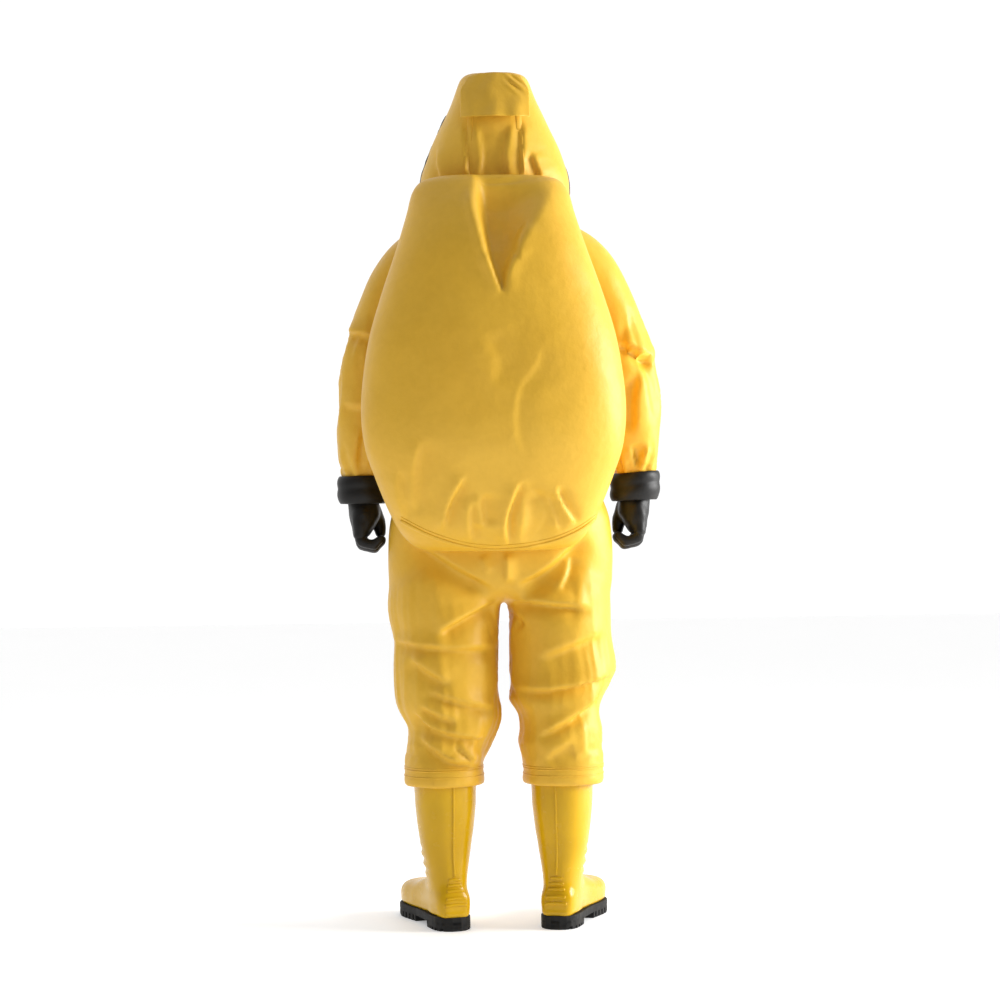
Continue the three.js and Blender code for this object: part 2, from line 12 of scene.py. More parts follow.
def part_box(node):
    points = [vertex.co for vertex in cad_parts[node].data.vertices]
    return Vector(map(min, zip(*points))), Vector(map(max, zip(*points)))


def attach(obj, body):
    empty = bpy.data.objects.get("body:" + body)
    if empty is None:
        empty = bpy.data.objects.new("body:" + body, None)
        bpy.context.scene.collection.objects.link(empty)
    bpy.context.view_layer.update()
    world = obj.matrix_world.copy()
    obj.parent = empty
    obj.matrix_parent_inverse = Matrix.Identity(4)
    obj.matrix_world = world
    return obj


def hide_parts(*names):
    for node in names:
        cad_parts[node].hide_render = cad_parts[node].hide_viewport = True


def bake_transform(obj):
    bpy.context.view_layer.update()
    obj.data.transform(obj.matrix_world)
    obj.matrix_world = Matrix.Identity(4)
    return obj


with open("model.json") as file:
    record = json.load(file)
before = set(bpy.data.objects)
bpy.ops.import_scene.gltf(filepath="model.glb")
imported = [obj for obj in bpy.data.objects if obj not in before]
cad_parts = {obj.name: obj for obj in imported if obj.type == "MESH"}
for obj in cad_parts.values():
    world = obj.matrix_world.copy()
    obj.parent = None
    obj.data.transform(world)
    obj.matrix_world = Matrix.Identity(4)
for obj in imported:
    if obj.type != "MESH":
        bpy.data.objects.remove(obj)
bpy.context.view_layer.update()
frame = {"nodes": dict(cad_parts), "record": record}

WEARER_Y = -0.06545  # the wearer's side-to-side plane, which every outline below is measured from
GARMENT_VOXEL = 0.0062
DRAPE_VOXEL = 0.0125
WRINKLE_GAIN = 1.5  # the settled wrinkles are strengthened by this
WRINKLE_LIMIT = 0.016  # and move no point further than this
LEG_WRINKLE_SHARE = 0.35  # the legs keep less of them than the sleeves
ARMPIT_Z = 1.353  # sleeves hang free of the trunk below this height
CROTCH_Z = 0.738  # legs hang free of each other below this height
NECK_Z = (1.520, 1.578)  # the neck's cloth, between the trunk and the hood
SLEEVE_CUT_Z = 1.242  # between the shoulder's piece and the elbow's piece
LEG_CUT_Z = 0.572  # between the hip's piece and the knee's piece
LEG_GAP_X = -0.005  # the middle of the gap between the legs
LEG_GAP_HALF = 0.007
BACK = 1
FRONT = -1
SIDES = {"left": 1, "right": -1}
CAMERA_ROLL = math.radians(-0.8)
CAMERA_AIM = Vector((0.000, 0, 0.942))
CAMERA_OFFSET = Vector((0.120, 5.499, 0))


# ---- Camera --------------------------------------------------------------------------------------------
def make_camera():
    """A camera at the suit's back, a little to one side and rolled a little."""
    data = bpy.data.cameras.new("camera")
    data.lens = 90
    camera = bpy.data.objects.new("camera", data)
    bpy.context.scene.collection.objects.link(camera)
    camera.location = CAMERA_AIM + CAMERA_OFFSET
    turn = (CAMERA_AIM - camera.location).to_track_quat("-Z", "Y")
    roll = Matrix.Rotation(CAMERA_ROLL, 3, "Z")
    camera.rotation_euler = (turn.to_matrix() @ roll).to_euler()
    bpy.context.scene.camera = camera


make_camera()


# ---- Mesh tools ----------------------------------------------------------------------------------------
def new_object(name, verts, faces):
    mesh = bpy.data.meshes.new(name)
    mesh.from_pydata(np.asarray(verts, float).tolist(), [], faces)
    mesh.update()
    mesh.shade_smooth()
    thing = bpy.data.objects.new(name, mesh)
    bpy.context.scene.collection.objects.link(thing)
    return thing


def applied(thing):
    graph = bpy.context.evaluated_depsgraph_get()
    mesh = bpy.data.meshes.new_from_object(thing.evaluated_get(graph))
    old = thing.data
    thing.modifiers.clear()
    thing.data = mesh
    bpy.data.meshes.remove(old)
    return thing


def remeshed(thing, voxel):
    change = thing.modifiers.new("remesh", "REMESH")
    change.mode = "VOXEL"
    change.voxel_size = voxel
    change.use_smooth_shade = True
    return applied(thing)


def places_of(mesh, what="co"):
    flat = np.empty(len(mesh.vertices) * 3)
    mesh.vertices.foreach_get(what, flat)
    return flat.reshape(-1, 3)


def set_places(mesh, places):
    mesh.vertices.foreach_set("co", places.ravel())
    mesh.update()


def edges_of(mesh):
    flat = np.empty(len(mesh.edges) * 2, int)
    mesh.edges.foreach_get("vertices", flat)
    return flat.reshape(-1, 2)


def faces_of(mesh):
    return [tuple(face.vertices) for face in mesh.polygons]


def relaxed(places, edges, share, rounds):
    """Each point moves towards the middle of its neighbours by its share, a few times over."""
    ends = np.concatenate([edges[:, 0], edges[:, 1]])
    others = np.concatenate([edges[:, 1], edges[:, 0]])
    count = np.maximum(np.bincount(ends, minlength=len(places)), 1)
    for _ in range(rounds):
        middle = [np.bincount(ends, places[others, axis], len(places)) / count for axis in range(3)]
        places = places + (np.stack(middle, 1) - places) * share[:, None]
    return places


def smoothstep(low, high, value):
    t = np.clip((value - low) / (high - low), 0, 1)
    return t * t * (3 - 2 * t)


def through(points, per):
    """Points of one smooth curve through all the given points."""
    points = np.array(points, float)
    before = np.vstack([points[:1], points[:-2]])
    after = np.vstack([points[2:], points[-1:]])
    curve = []
    for a, b, c, d in zip(before, points[:-1], points[1:], after):
        for t in np.arange(per) / per:
            bend = (2 * a - 5 * b + 4 * c - d) * t**2 + (3 * b - a - 3 * c + d) * t**3
            curve.append(0.5 * (2 * b + (c - a) * t + bend))
    curve.append(points[-1])
    return np.array(curve)


def level(z, wide, front, back, y=0.0, square=2.3):
    """A horizontal outline: half width, and depths to the front and back of the plane at y."""
    return (0.0, y + WEARER_Y, z, wide, front, back, square, 0.0)


def limb(x, y, z, wide, deep, lean=0.0, square=2.2):
    """An outline round a sleeve or leg; a lean in degrees lifts its +X side."""
    return (x, y + WEARER_Y, z, wide, deep, deep, square, lean)


def loft(stations, around=72, per=6):
    """A closed shell through outlines, as points and faces."""
    rows = through(stations, per)
    angle = np.linspace(0, 2 * math.pi, around, endpoint=False)
    c, s = np.cos(angle), np.sin(angle)
    points = []
    for x, y, z, wide, front, back, square, lean in rows:
        u = wide * np.sign(c) * abs(c) ** (2 / square)
        v = np.where(s < 0, front, back) * np.sign(s) * abs(s) ** (2 / square)
        tilt = math.radians(lean)
        points.append(np.stack([x + u * math.cos(tilt), y + v, z + u * math.sin(tilt)], 1))
    points = np.concatenate([*points, rows[:1, :3], rows[-1:, :3]])
    faces = []
    last = (len(rows) - 1) * around
    for i in range(around):
        j = (i + 1) % around
        for k in range(0, last, around):
            faces.append((k + i, k + j, k + around + j, k + around + i))
        faces.append((last + around, j, i))
        faces.append((last + around + 1, last + i, last + j))
    return points, faces


def mirrored(stations):
    return [(-x, y, z, wide, front, back, square, -lean)
            for x, y, z, wide, front, back, square, lean in stations]


def together(shells):
    """Several shells as one list of points and faces."""
    points, faces, start = [], [], 0
    for shell_points, shell_faces in shells:
        points.append(shell_points)
        faces += [tuple(start + i for i in face) for face in shell_faces]
        start += len(shell_points)
    return np.concatenate(points), faces


def lathe(profile, axis_from, axis_to, around=48):
    """A closed ring or disc turned from (radius, height) points about an axis."""
    axis_from = Vector(axis_from)
    turn = (Vector(axis_to) - axis_from).to_track_quat("Z", "Y").to_matrix()
    points = []
    for radius, height in profile:
        for i in range(around):
            angle = 2 * math.pi * i / around
            spot = Vector((radius * math.cos(angle), radius * math.sin(angle), height))
            points.append(turn @ spot + axis_from)
    faces = []
    count = len(profile)
    for k in range(count):
        for i in range(around):
            j = (i + 1) % around
            a, b = k * around, (k + 1) % count * around
            faces.append((a + i, a + j, b + j, b + i))
    return np.array(points), faces


def tube(points, radii, around=12):
    """A closed round tube along a path, capped flat at its ends, as points and faces."""
    points = [Vector(p) for p in points]
    side = Vector((0.3, 0.9, 0.2))
    verts, faces = [], []
    for k, point in enumerate(points):
        ahead = (points[min(k + 1, len(points) - 1)] - points[max(k - 1, 0)]).normalized()
        side = (side - ahead * side.dot(ahead)).normalized()
        up = ahead.cross(side)
        for i in range(around):
            angle = 2 * math.pi * i / around
            verts.append(point + radii[k] * (side * math.cos(angle) + up * math.sin(angle)))
    last = (len(points) - 1) * around
    for i in range(around):
        j = (i + 1) % around
        for k in range(0, last, around):
            faces.append((k + i, k + j, k + around + j, k + around + i))
    faces.append(tuple(reversed(range(around))))
    faces.append(tuple(range(last, last + around)))
    return np.array([list(v) for v in verts]), faces


def capsule(a, b, radius_a, radius_b, around=16):
    """A finger-like shape from a to b with round ends."""
    a, b = Vector(a), Vector(b)
    ahead = (b - a).normalized()
    steps = [(-0.98, 0.2), (-0.8, 0.6), (-0.4, 0.92), (0, 1)]
    spots = [(a + ahead * radius_a * along, radius_a * across) for along, across in steps]
    spots += [(b - ahead * radius_b * along, radius_b * across) for along, across in reversed(steps)]
    return tube([spot for spot, _ in spots], [radius for _, radius in spots], around)


# ---- Folds ---------------------------------------------------------------------------------------------
def fold(places, normals, line, width, depth, lip, facing):
    """How far a fold moves each point. A fold is a line of (x, z) points where the cloth tucks under: a
    raised lip on the line's left-hand side, as seen with x to the right, and a hollow on the other side,
    with a step between them. It fades out at both ends."""
    line = through(line, 5)
    spots = places[:, [0, 2]]
    best = np.full(len(places), 1e9)
    across = np.zeros(len(places))
    along = np.zeros(len(places))
    lengths = np.linalg.norm(np.diff(line, axis=0), axis=1)
    done = np.concatenate([[0], np.cumsum(lengths)]) / lengths.sum()
    for k, length in enumerate(lengths):
        ahead = (line[k + 1] - line[k]) / length
        offset = spots - line[k]
        t = np.clip(offset @ ahead / length, 0, 1)
        gap = np.linalg.norm(offset - t[:, None] * ahead * length, axis=1)
        nearer = gap < best
        best = np.where(nearer, gap, best)
        side = np.sign(ahead[0] * offset[:, 1] - ahead[1] * offset[:, 0])
        across = np.where(nearer, gap * side, across)
        along = np.where(nearer, done[k] + t * (done[k + 1] - done[k]), along)
    fade = smoothstep(0, 0.25, along) * smoothstep(0, 0.25, 1 - along)
    rise = smoothstep(-0.32 * width, 0.32 * width, across)
    valley = depth * (1 - rise) * np.exp(-((np.minimum(across, 0) / (1.5 * width)) ** 2))
    raised = lip * rise * np.exp(-((np.maximum(across, 0) / (1.8 * width)) ** 2))
    facing_share = np.clip(normals[:, 1] * facing * 1.5 + 0.6, 0, 1)
    return fade * facing_share * (raised - valley)


def folded(places, normals, folds, share):
    """The points moved by a whole table of folds."""
    moved = np.zeros(len(places))
    for line, width, depth, lip, facing in folds:
        moved += fold(places, normals, line, width, depth, lip, facing)
    return places + normals * (moved * share)[:, None]


def rumple(places, size, seed):
    """A smooth random value from about -1 to 1 at each point."""
    shift = Vector((seed * 7.3, seed * 3.1, seed * 5.7))
    return np.array([noise.noise(Vector(p) / size + shift) for p in places])


# ---- Outlines of the garment, in metres, from the bottom up --------------------------------------------
BODY_LINE = [
    level(0.722, 0.225, 0.080, 0.074),
    level(0.742, 0.245, 0.122, 0.112),
    level(0.785, 0.250, 0.144, 0.132),
    level(0.830, 0.250, 0.148, 0.138),
    level(0.900, 0.243, 0.148, 0.138),
    level(0.950, 0.226, 0.148, 0.134),
    level(1.010, 0.205, 0.147, 0.130),
    level(1.150, 0.190, 0.147, 0.130),
    level(1.320, 0.190, 0.148, 0.130),
    level(1.430, 0.192, 0.148, 0.128),
    level(1.490, 0.180, 0.148, 0.124),
    level(1.528, 0.167, 0.148, 0.120),
    level(1.575, 0.164, 0.150, 0.122),
    level(1.650, 0.165, 0.156, 0.128),
    level(1.700, 0.151, 0.156, 0.128),
    level(1.756, 0.127, 0.150, 0.122),
    level(1.812, 0.101, 0.138, 0.112),
    level(1.850, 0.085, 0.122, 0.102),
    level(1.872, 0.076, 0.104, 0.088, 0, 2.5),
    level(1.884, 0.064, 0.080, 0.070, 0, 2.6),
]
SLEEVE_LINE = [
    limb(0.305, -0.030, 0.958, 0.042, 0.042, 0, 2),
    limb(0.305, -0.030, 1.000, 0.045, 0.045, 0, 2),
    limb(0.303, -0.027, 1.035, 0.053, 0.058),
    limb(0.297, -0.020, 1.080, 0.063, 0.068),
    limb(0.292, -0.016, 1.130, 0.068, 0.073),
    limb(0.286, -0.012, 1.190, 0.068, 0.074),
    limb(0.281, -0.010, 1.250, 0.066, 0.075, 2),
    limb(0.262, -0.007, 1.325, 0.063, 0.077, 10),
    limb(0.240, -0.005, 1.378, 0.065, 0.080, 22),
    limb(0.205, -0.003, 1.430, 0.073, 0.084, 38),
    limb(0.165, -0.001, 1.463, 0.079, 0.086, 52),
    limb(0.115, 0.000, 1.487, 0.081, 0.086, 66),
]
LEFT_LEG_LINE = [
    limb(0.130, 0.027, 0.345, 0.074, 0.076),
    limb(0.130, 0.027, 0.318, 0.078, 0.080),
    limb(0.130, 0.027, 0.313, 0.084, 0.086),
    limb(0.130, 0.027, 0.323, 0.089, 0.091),
    limb(0.130, 0.027, 0.345, 0.087, 0.089),
    limb(0.130, 0.025, 0.370, 0.087, 0.091),
    limb(0.121, 0.018, 0.403, 0.092, 0.098),
    limb(0.109, 0.012, 0.436, 0.098, 0.106),
    limb(0.113, 0.008, 0.469, 0.112, 0.112),
    limb(0.122, 0.006, 0.502, 0.115, 0.116),
    limb(0.124, 0.004, 0.568, 0.115, 0.118),
    limb(0.123, 0.001, 0.634, 0.114, 0.122),
    limb(0.128, -0.002, 0.700, 0.124, 0.130),
    limb(0.126, -0.004, 0.760, 0.118, 0.132),
    limb(0.120, -0.006, 0.810, 0.100, 0.118),
]
RIGHT_LEG_LINE = [
    limb(-0.132, 0.027, 0.345, 0.074, 0.076),
    limb(-0.132, 0.027, 0.318, 0.078, 0.080),
    limb(-0.132, 0.027, 0.313, 0.084, 0.086),
    limb(-0.132, 0.027, 0.323, 0.090, 0.091),
    limb(-0.133, 0.027, 0.345, 0.088, 0.089),
    limb(-0.132, 0.025, 0.370, 0.092, 0.092),
    limb(-0.128, 0.020, 0.403, 0.094, 0.097),
    limb(-0.132, 0.016, 0.436, 0.090, 0.098),
    limb(-0.126, 0.012, 0.469, 0.087, 0.100),
    limb(-0.121, 0.008, 0.502, 0.103, 0.110),
    limb(-0.131, 0.006, 0.535, 0.112, 0.118),
    limb(-0.137, 0.004, 0.568, 0.118, 0.121),
    limb(-0.132, 0.001, 0.634, 0.112, 0.122),
    limb(-0.130, -0.002, 0.700, 0.113, 0.130),
    limb(-0.126, -0.004, 0.760, 0.112, 0.132),
    limb(-0.120, -0.006, 0.810, 0.098, 0.118),
]
HOUSING_LINE = [
    level(0.832, 0.140, 0.090, 0.060, 0.110, 2.4),
    level(0.842, 0.172, 0.104, 0.078, 0.120, 2.4),
    level(0.868, 0.200, 0.120, 0.094, 0.130, 2.5),
    level(0.915, 0.226, 0.138, 0.110, 0.150, 2.5),
    level(0.990, 0.256, 0.148, 0.122, 0.176, 2.6),
    level(1.065, 0.279, 0.150, 0.134, 0.190, 2.6),
    level(1.160, 0.284, 0.150, 0.142, 0.190, 2.6),
    level(1.280, 0.268, 0.150, 0.142, 0.190, 2.6),
    level(1.380, 0.240, 0.146, 0.136, 0.184, 2.5),
    level(1.480, 0.206, 0.136, 0.126, 0.176, 2.5),
    level(1.560, 0.182, 0.118, 0.108, 0.158, 2.5),
    level(1.606, 0.170, 0.096, 0.084, 0.150, 2.5),
    level(1.632, 0.150, 0.066, 0.062, 0.152, 2.4),
    level(1.643, 0.112, 0.046, 0.042, 0.152, 2.4),
]

# ---- Folds of the garment: line, width, depth of the valley, height of the lip, side -------------------
LEG_FOLDS = [
    ([(0.010, 0.722), (0.075, 0.690), (0.147, 0.651)], 0.016, 0.014, 0.010, BACK),
    ([(0.000, 0.617), (0.110, 0.619), (0.222, 0.632), (0.245, 0.646)], 0.014, 0.010, 0.009, BACK),
    ([(0.111, 0.539), (0.160, 0.566), (0.208, 0.601)], 0.022, 0.012, 0.006, BACK),
    ([(0.010, 0.484), (0.090, 0.500), (0.173, 0.530)], 0.014, 0.012, 0.007, BACK),
    ([(0.098, 0.458), (0.140, 0.472), (0.186, 0.497)], 0.018, 0.012, 0.006, BACK),
    ([(0.030, 0.418), (0.100, 0.428), (0.165, 0.450), (0.205, 0.492)], 0.016, 0.010, 0.010, BACK),
    ([(0.052, 0.360), (0.110, 0.372), (0.140, 0.388), (0.190, 0.430)], 0.016, 0.010, 0.010, BACK),
    ([(0.061, 0.365), (0.080, 0.385), (0.107, 0.411)], 0.010, 0.006, 0.006, BACK),
    ([(-0.200, 0.697), (-0.160, 0.707), (-0.080, 0.715), (-0.010, 0.724)], 0.015, 0.016, 0.010, BACK),
    ([(-0.054, 0.668), (-0.034, 0.684), (-0.018, 0.704)], 0.014, 0.008, 0.002, BACK),
    ([(-0.232, 0.651), (-0.150, 0.622), (-0.071, 0.592)], 0.030, 0.010, 0.008, BACK),
    ([(-0.258, 0.556), (-0.160, 0.534), (-0.092, 0.526), (-0.014, 0.528)], 0.014, 0.016, 0.012, BACK),
    ([(-0.222, 0.537), (-0.197, 0.495), (-0.155, 0.466), (-0.071, 0.420)], 0.012, 0.013, 0.008, BACK),
    ([(-0.150, 0.411), (-0.110, 0.388), (-0.087, 0.370)], 0.024, 0.007, 0.004, BACK),
    ([(0.018, 0.700), (0.090, 0.668), (0.190, 0.664)], 0.018, 0.009, 0.008, FRONT),
    ([(0.020, 0.540), (0.100, 0.520), (0.215, 0.545)], 0.020, 0.012, 0.012, FRONT),
    ([(0.030, 0.470), (0.110, 0.452), (0.200, 0.485)], 0.016, 0.010, 0.008, FRONT),
    ([(0.050, 0.400), (0.120, 0.376), (0.200, 0.408)], 0.016, 0.010, 0.010, FRONT),
    ([(-0.205, 0.672), (-0.110, 0.660), (-0.020, 0.694)], 0.018, 0.009, 0.008, FRONT),
    ([(-0.235, 0.556), (-0.120, 0.530), (-0.024, 0.552)], 0.018, 0.012, 0.012, FRONT),
    ([(-0.210, 0.470), (-0.120, 0.450), (-0.050, 0.478)], 0.016, 0.010, 0.008, FRONT),
    ([(-0.205, 0.404), (-0.130, 0.380), (-0.060, 0.396)], 0.016, 0.009, 0.010, FRONT),
]
TRUNK_FOLDS = [
    ([(0.010, 0.744), (0.110, 0.800), (0.214, 0.872)], 0.024, 0.018, 0.004, BACK),
    ([(-0.190, 0.868), (-0.100, 0.790), (-0.030, 0.754)], 0.024, 0.018, 0.004, BACK),
    ([(-0.005, 0.830), (-0.006, 0.795), (-0.005, 0.758)], 0.014, -0.010, 0.0, BACK),
    ([(0.050, 0.822), (0.040, 0.800), (0.028, 0.780)], 0.012, -0.006, 0.0, BACK),
    ([(-0.160, 0.820), (-0.140, 0.770), (-0.120, 0.740)], 0.020, 0.008, 0.005, BACK),
    ([(0.030, 0.760), (0.110, 0.790), (0.210, 0.860)], 0.020, 0.010, 0.008, FRONT),
    ([(-0.210, 0.850), (-0.110, 0.795), (-0.040, 0.764)], 0.020, 0.010, 0.008, FRONT),
    ([(0.060, 0.930), (0.130, 0.950), (0.210, 0.930)], 0.018, 0.006, 0.006, FRONT),
    ([(-0.200, 0.940), (-0.130, 0.960), (-0.060, 0.945)], 0.018, 0.006, 0.006, FRONT),
    ([(0.070, 1.330), (0.120, 1.300), (0.175, 1.330)], 0.024, 0.006, 0.005, FRONT),
    ([(-0.175, 1.320), (-0.120, 1.295), (-0.070, 1.322)], 0.024, 0.006, 0.005, FRONT),
    ([(0.060, 1.180), (0.120, 1.130), (0.180, 1.120)], 0.026, 0.006, 0.005, FRONT),
    ([(-0.180, 1.125), (-0.120, 1.135), (-0.060, 1.175)], 0.026, 0.006, 0.005, FRONT),
    ([(-0.150, 1.560), (-0.060, 1.552), (0.060, 1.552), (0.150, 1.560)], 0.016, 0.006, 0.006, FRONT),
    ([(0.070, 1.775), (0.064, 1.700), (0.058, 1.640)], 0.012, 0.005, 0.003, BACK),
    ([(-0.052, 1.640), (-0.056, 1.700), (-0.060, 1.775)], 0.012, 0.005, 0.003, BACK),
    ([(0.040, 1.770), (0.028, 1.690), (0.040, 1.630)], 0.020, 0.006, 0.003, BACK),
    ([(-0.026, 1.630), (-0.018, 1.700), (-0.034, 1.770)], 0.018, 0.007, 0.003, BACK),
    ([(-0.100, 1.640), (-0.084, 1.675), (-0.078, 1.700)], 0.014, 0.007, 0.004, BACK),
    ([(0.118, 1.640), (0.130, 1.680), (0.128, 1.720)], 0.012, 0.006, 0.003, BACK),
]
SLEEVE_FOLDS = [
    ([(0.262, 1.300), (0.300, 1.310), (0.335, 1.318)], 0.016, 0.014, 0.010, BACK),
    ([(0.250, 1.170), (0.300, 1.150), (0.350, 1.160)], 0.022, 0.007, 0.005, BACK),
    ([(0.300, 1.110), (0.310, 1.060), (0.312, 1.015)], 0.014, 0.008, 0.004, BACK),
    ([(0.270, 1.070), (0.282, 1.040), (0.290, 1.010)], 0.010, 0.006, 0.003, BACK),
    ([(-0.350, 1.240), (-0.310, 1.262), (-0.262, 1.290)], 0.018, 0.018, 0.012, BACK),
    ([(-0.300, 1.080), (-0.300, 1.150), (-0.312, 1.220)], 0.020, 0.012, 0.006, BACK),
    ([(-0.315, 1.010), (-0.318, 1.035), (-0.330, 1.060)], 0.010, 0.008, 0.005, BACK),
    ([(-0.290, 1.060), (-0.300, 1.032), (-0.306, 1.010)], 0.010, 0.008, 0.005, BACK),
    ([(0.232, 1.215), (0.285, 1.195), (0.335, 1.215)], 0.018, 0.014, 0.010, FRONT),
    ([(0.238, 1.260), (0.285, 1.245), (0.330, 1.268)], 0.016, 0.008, 0.006, FRONT),
    ([(0.240, 1.150), (0.290, 1.140), (0.345, 1.170)], 0.018, 0.008, 0.006, FRONT),
    ([(-0.335, 1.205), (-0.285, 1.190), (-0.235, 1.212)], 0.018, 0.014, 0.010, FRONT),
    ([(-0.335, 1.262), (-0.285, 1.250), (-0.238, 1.274)], 0.016, 0.008, 0.006, FRONT),
    ([(-0.348, 1.140), (-0.290, 1.132), (-0.240, 1.150)], 0.018, 0.008, 0.006, FRONT),
]
HOUSING_FOLDS = [
    ([(-0.057, 0.984), (-0.026, 0.904), (-0.030, 0.838)], 0.012, 0.013, 0.009, BACK),
    ([(-0.057, 0.984), (-0.108, 0.909), (-0.078, 0.850)], 0.012, 0.007, -0.003, BACK),
    ([(-0.062, 0.960), (-0.068, 0.900), (-0.055, 0.845)], 0.046, 0.012, 0.000, BACK),
    ([(0.059, 0.999), (0.095, 0.937), (0.112, 0.870)], 0.012, 0.007, 0.009, BACK),
    ([(0.030, 0.958), (0.027, 0.915), (0.020, 0.880)], 0.022, 0.010, 0.006, BACK),
    ([(0.050, 0.945), (0.054, 0.900), (0.046, 0.850)], 0.012, 0.007, 0.007, BACK),
    ([(-0.128, 0.972), (-0.148, 0.925), (-0.178, 0.885)], 0.012, 0.008, 0.008, BACK),
    ([(-0.108, 0.955), (-0.124, 0.915), (-0.140, 0.870)], 0.014, 0.006, 0.005, BACK),
    ([(0.150, 1.080), (0.165, 1.010), (0.172, 0.905)], 0.030, 0.007, 0.006, BACK),
    ([(0.205, 1.010), (0.200, 0.960), (0.186, 0.900)], 0.020, 0.006, 0.005, BACK),
    ([(-0.105, 1.285), (-0.092, 1.225), (-0.055, 1.175), (-0.045, 1.090), (-0.070, 1.020)],
     0.022, 0.0028, 0.0004, BACK),
    ([(0.020, 1.290), (-0.004, 1.235), (0.004, 1.180)], 0.040, 0.0035, 0.001, BACK),
    ([(0.012, 1.470), (-0.006, 1.420), (-0.024, 1.372)], 0.012, 0.009, 0.006, BACK),
    ([(-0.022, 1.372), (-0.028, 1.420), (-0.046, 1.475)], 0.012, 0.006, 0.006, BACK),
    ([(-0.060, 1.440), (-0.050, 1.490), (-0.080, 1.540)], 0.016, 0.005, 0.005, BACK),
]
HOUSING_SHIFT = 0.014  # the loose housing hangs a little to the wearer's left


# ---- The garment: one shell of hood, trunk, sleeves and legs -------------------------------------------
def sleeve_split(z):
    """How far out the gap between trunk and sleeve lies at each height."""
    return np.interp(z, [0.95, 0.98, 1.04, 1.12, 1.25, 1.36], [0.247, 0.243, 0.231, 0.212, 0.202, 0.196])


def regions(places):
    """Shares of the trunk, sleeves and legs at each point."""
    x, z = abs(places[:, 0]), places[:, 2]
    in_sleeve = (x > sleeve_split(z)) & (z > 0.94) & (z < 1.45)
    sleeve = in_sleeve * smoothstep(1.40, 1.33, z) * smoothstep(1.000, 1.020, z)
    leg = smoothstep(0.80, 0.735, z) * smoothstep(0.346, 0.362, z)
    trunk = smoothstep(0.72, 0.75, z) * (1 - in_sleeve)
    return trunk, sleeve, leg


def garment_shell(voxel):
    """The hood, trunk, sleeves and legs as one closed shell, eased where they meet."""
    shells = [
        loft(BODY_LINE),
        loft(SLEEVE_LINE),
        loft(mirrored(SLEEVE_LINE)),
        loft(LEFT_LEG_LINE),
        loft(RIGHT_LEG_LINE),
    ]
    shell = remeshed(new_object("garment", *together(shells)), voxel)
    mesh = shell.data
    places = places_of(mesh)
    x, z = abs(places[:, 0]), places[:, 2]
    crotch = smoothstep(0.64, 0.72, z) * smoothstep(0.84, 0.78, z)
    armhole = smoothstep(1.28, 1.34, z) * smoothstep(1.52, 1.46, z) * smoothstep(0.12, 0.17, x)
    share = 0.12 + 0.75 * np.maximum(crotch, armhole)
    set_places(mesh, relaxed(places, edges_of(mesh), share, 10))
    return shell


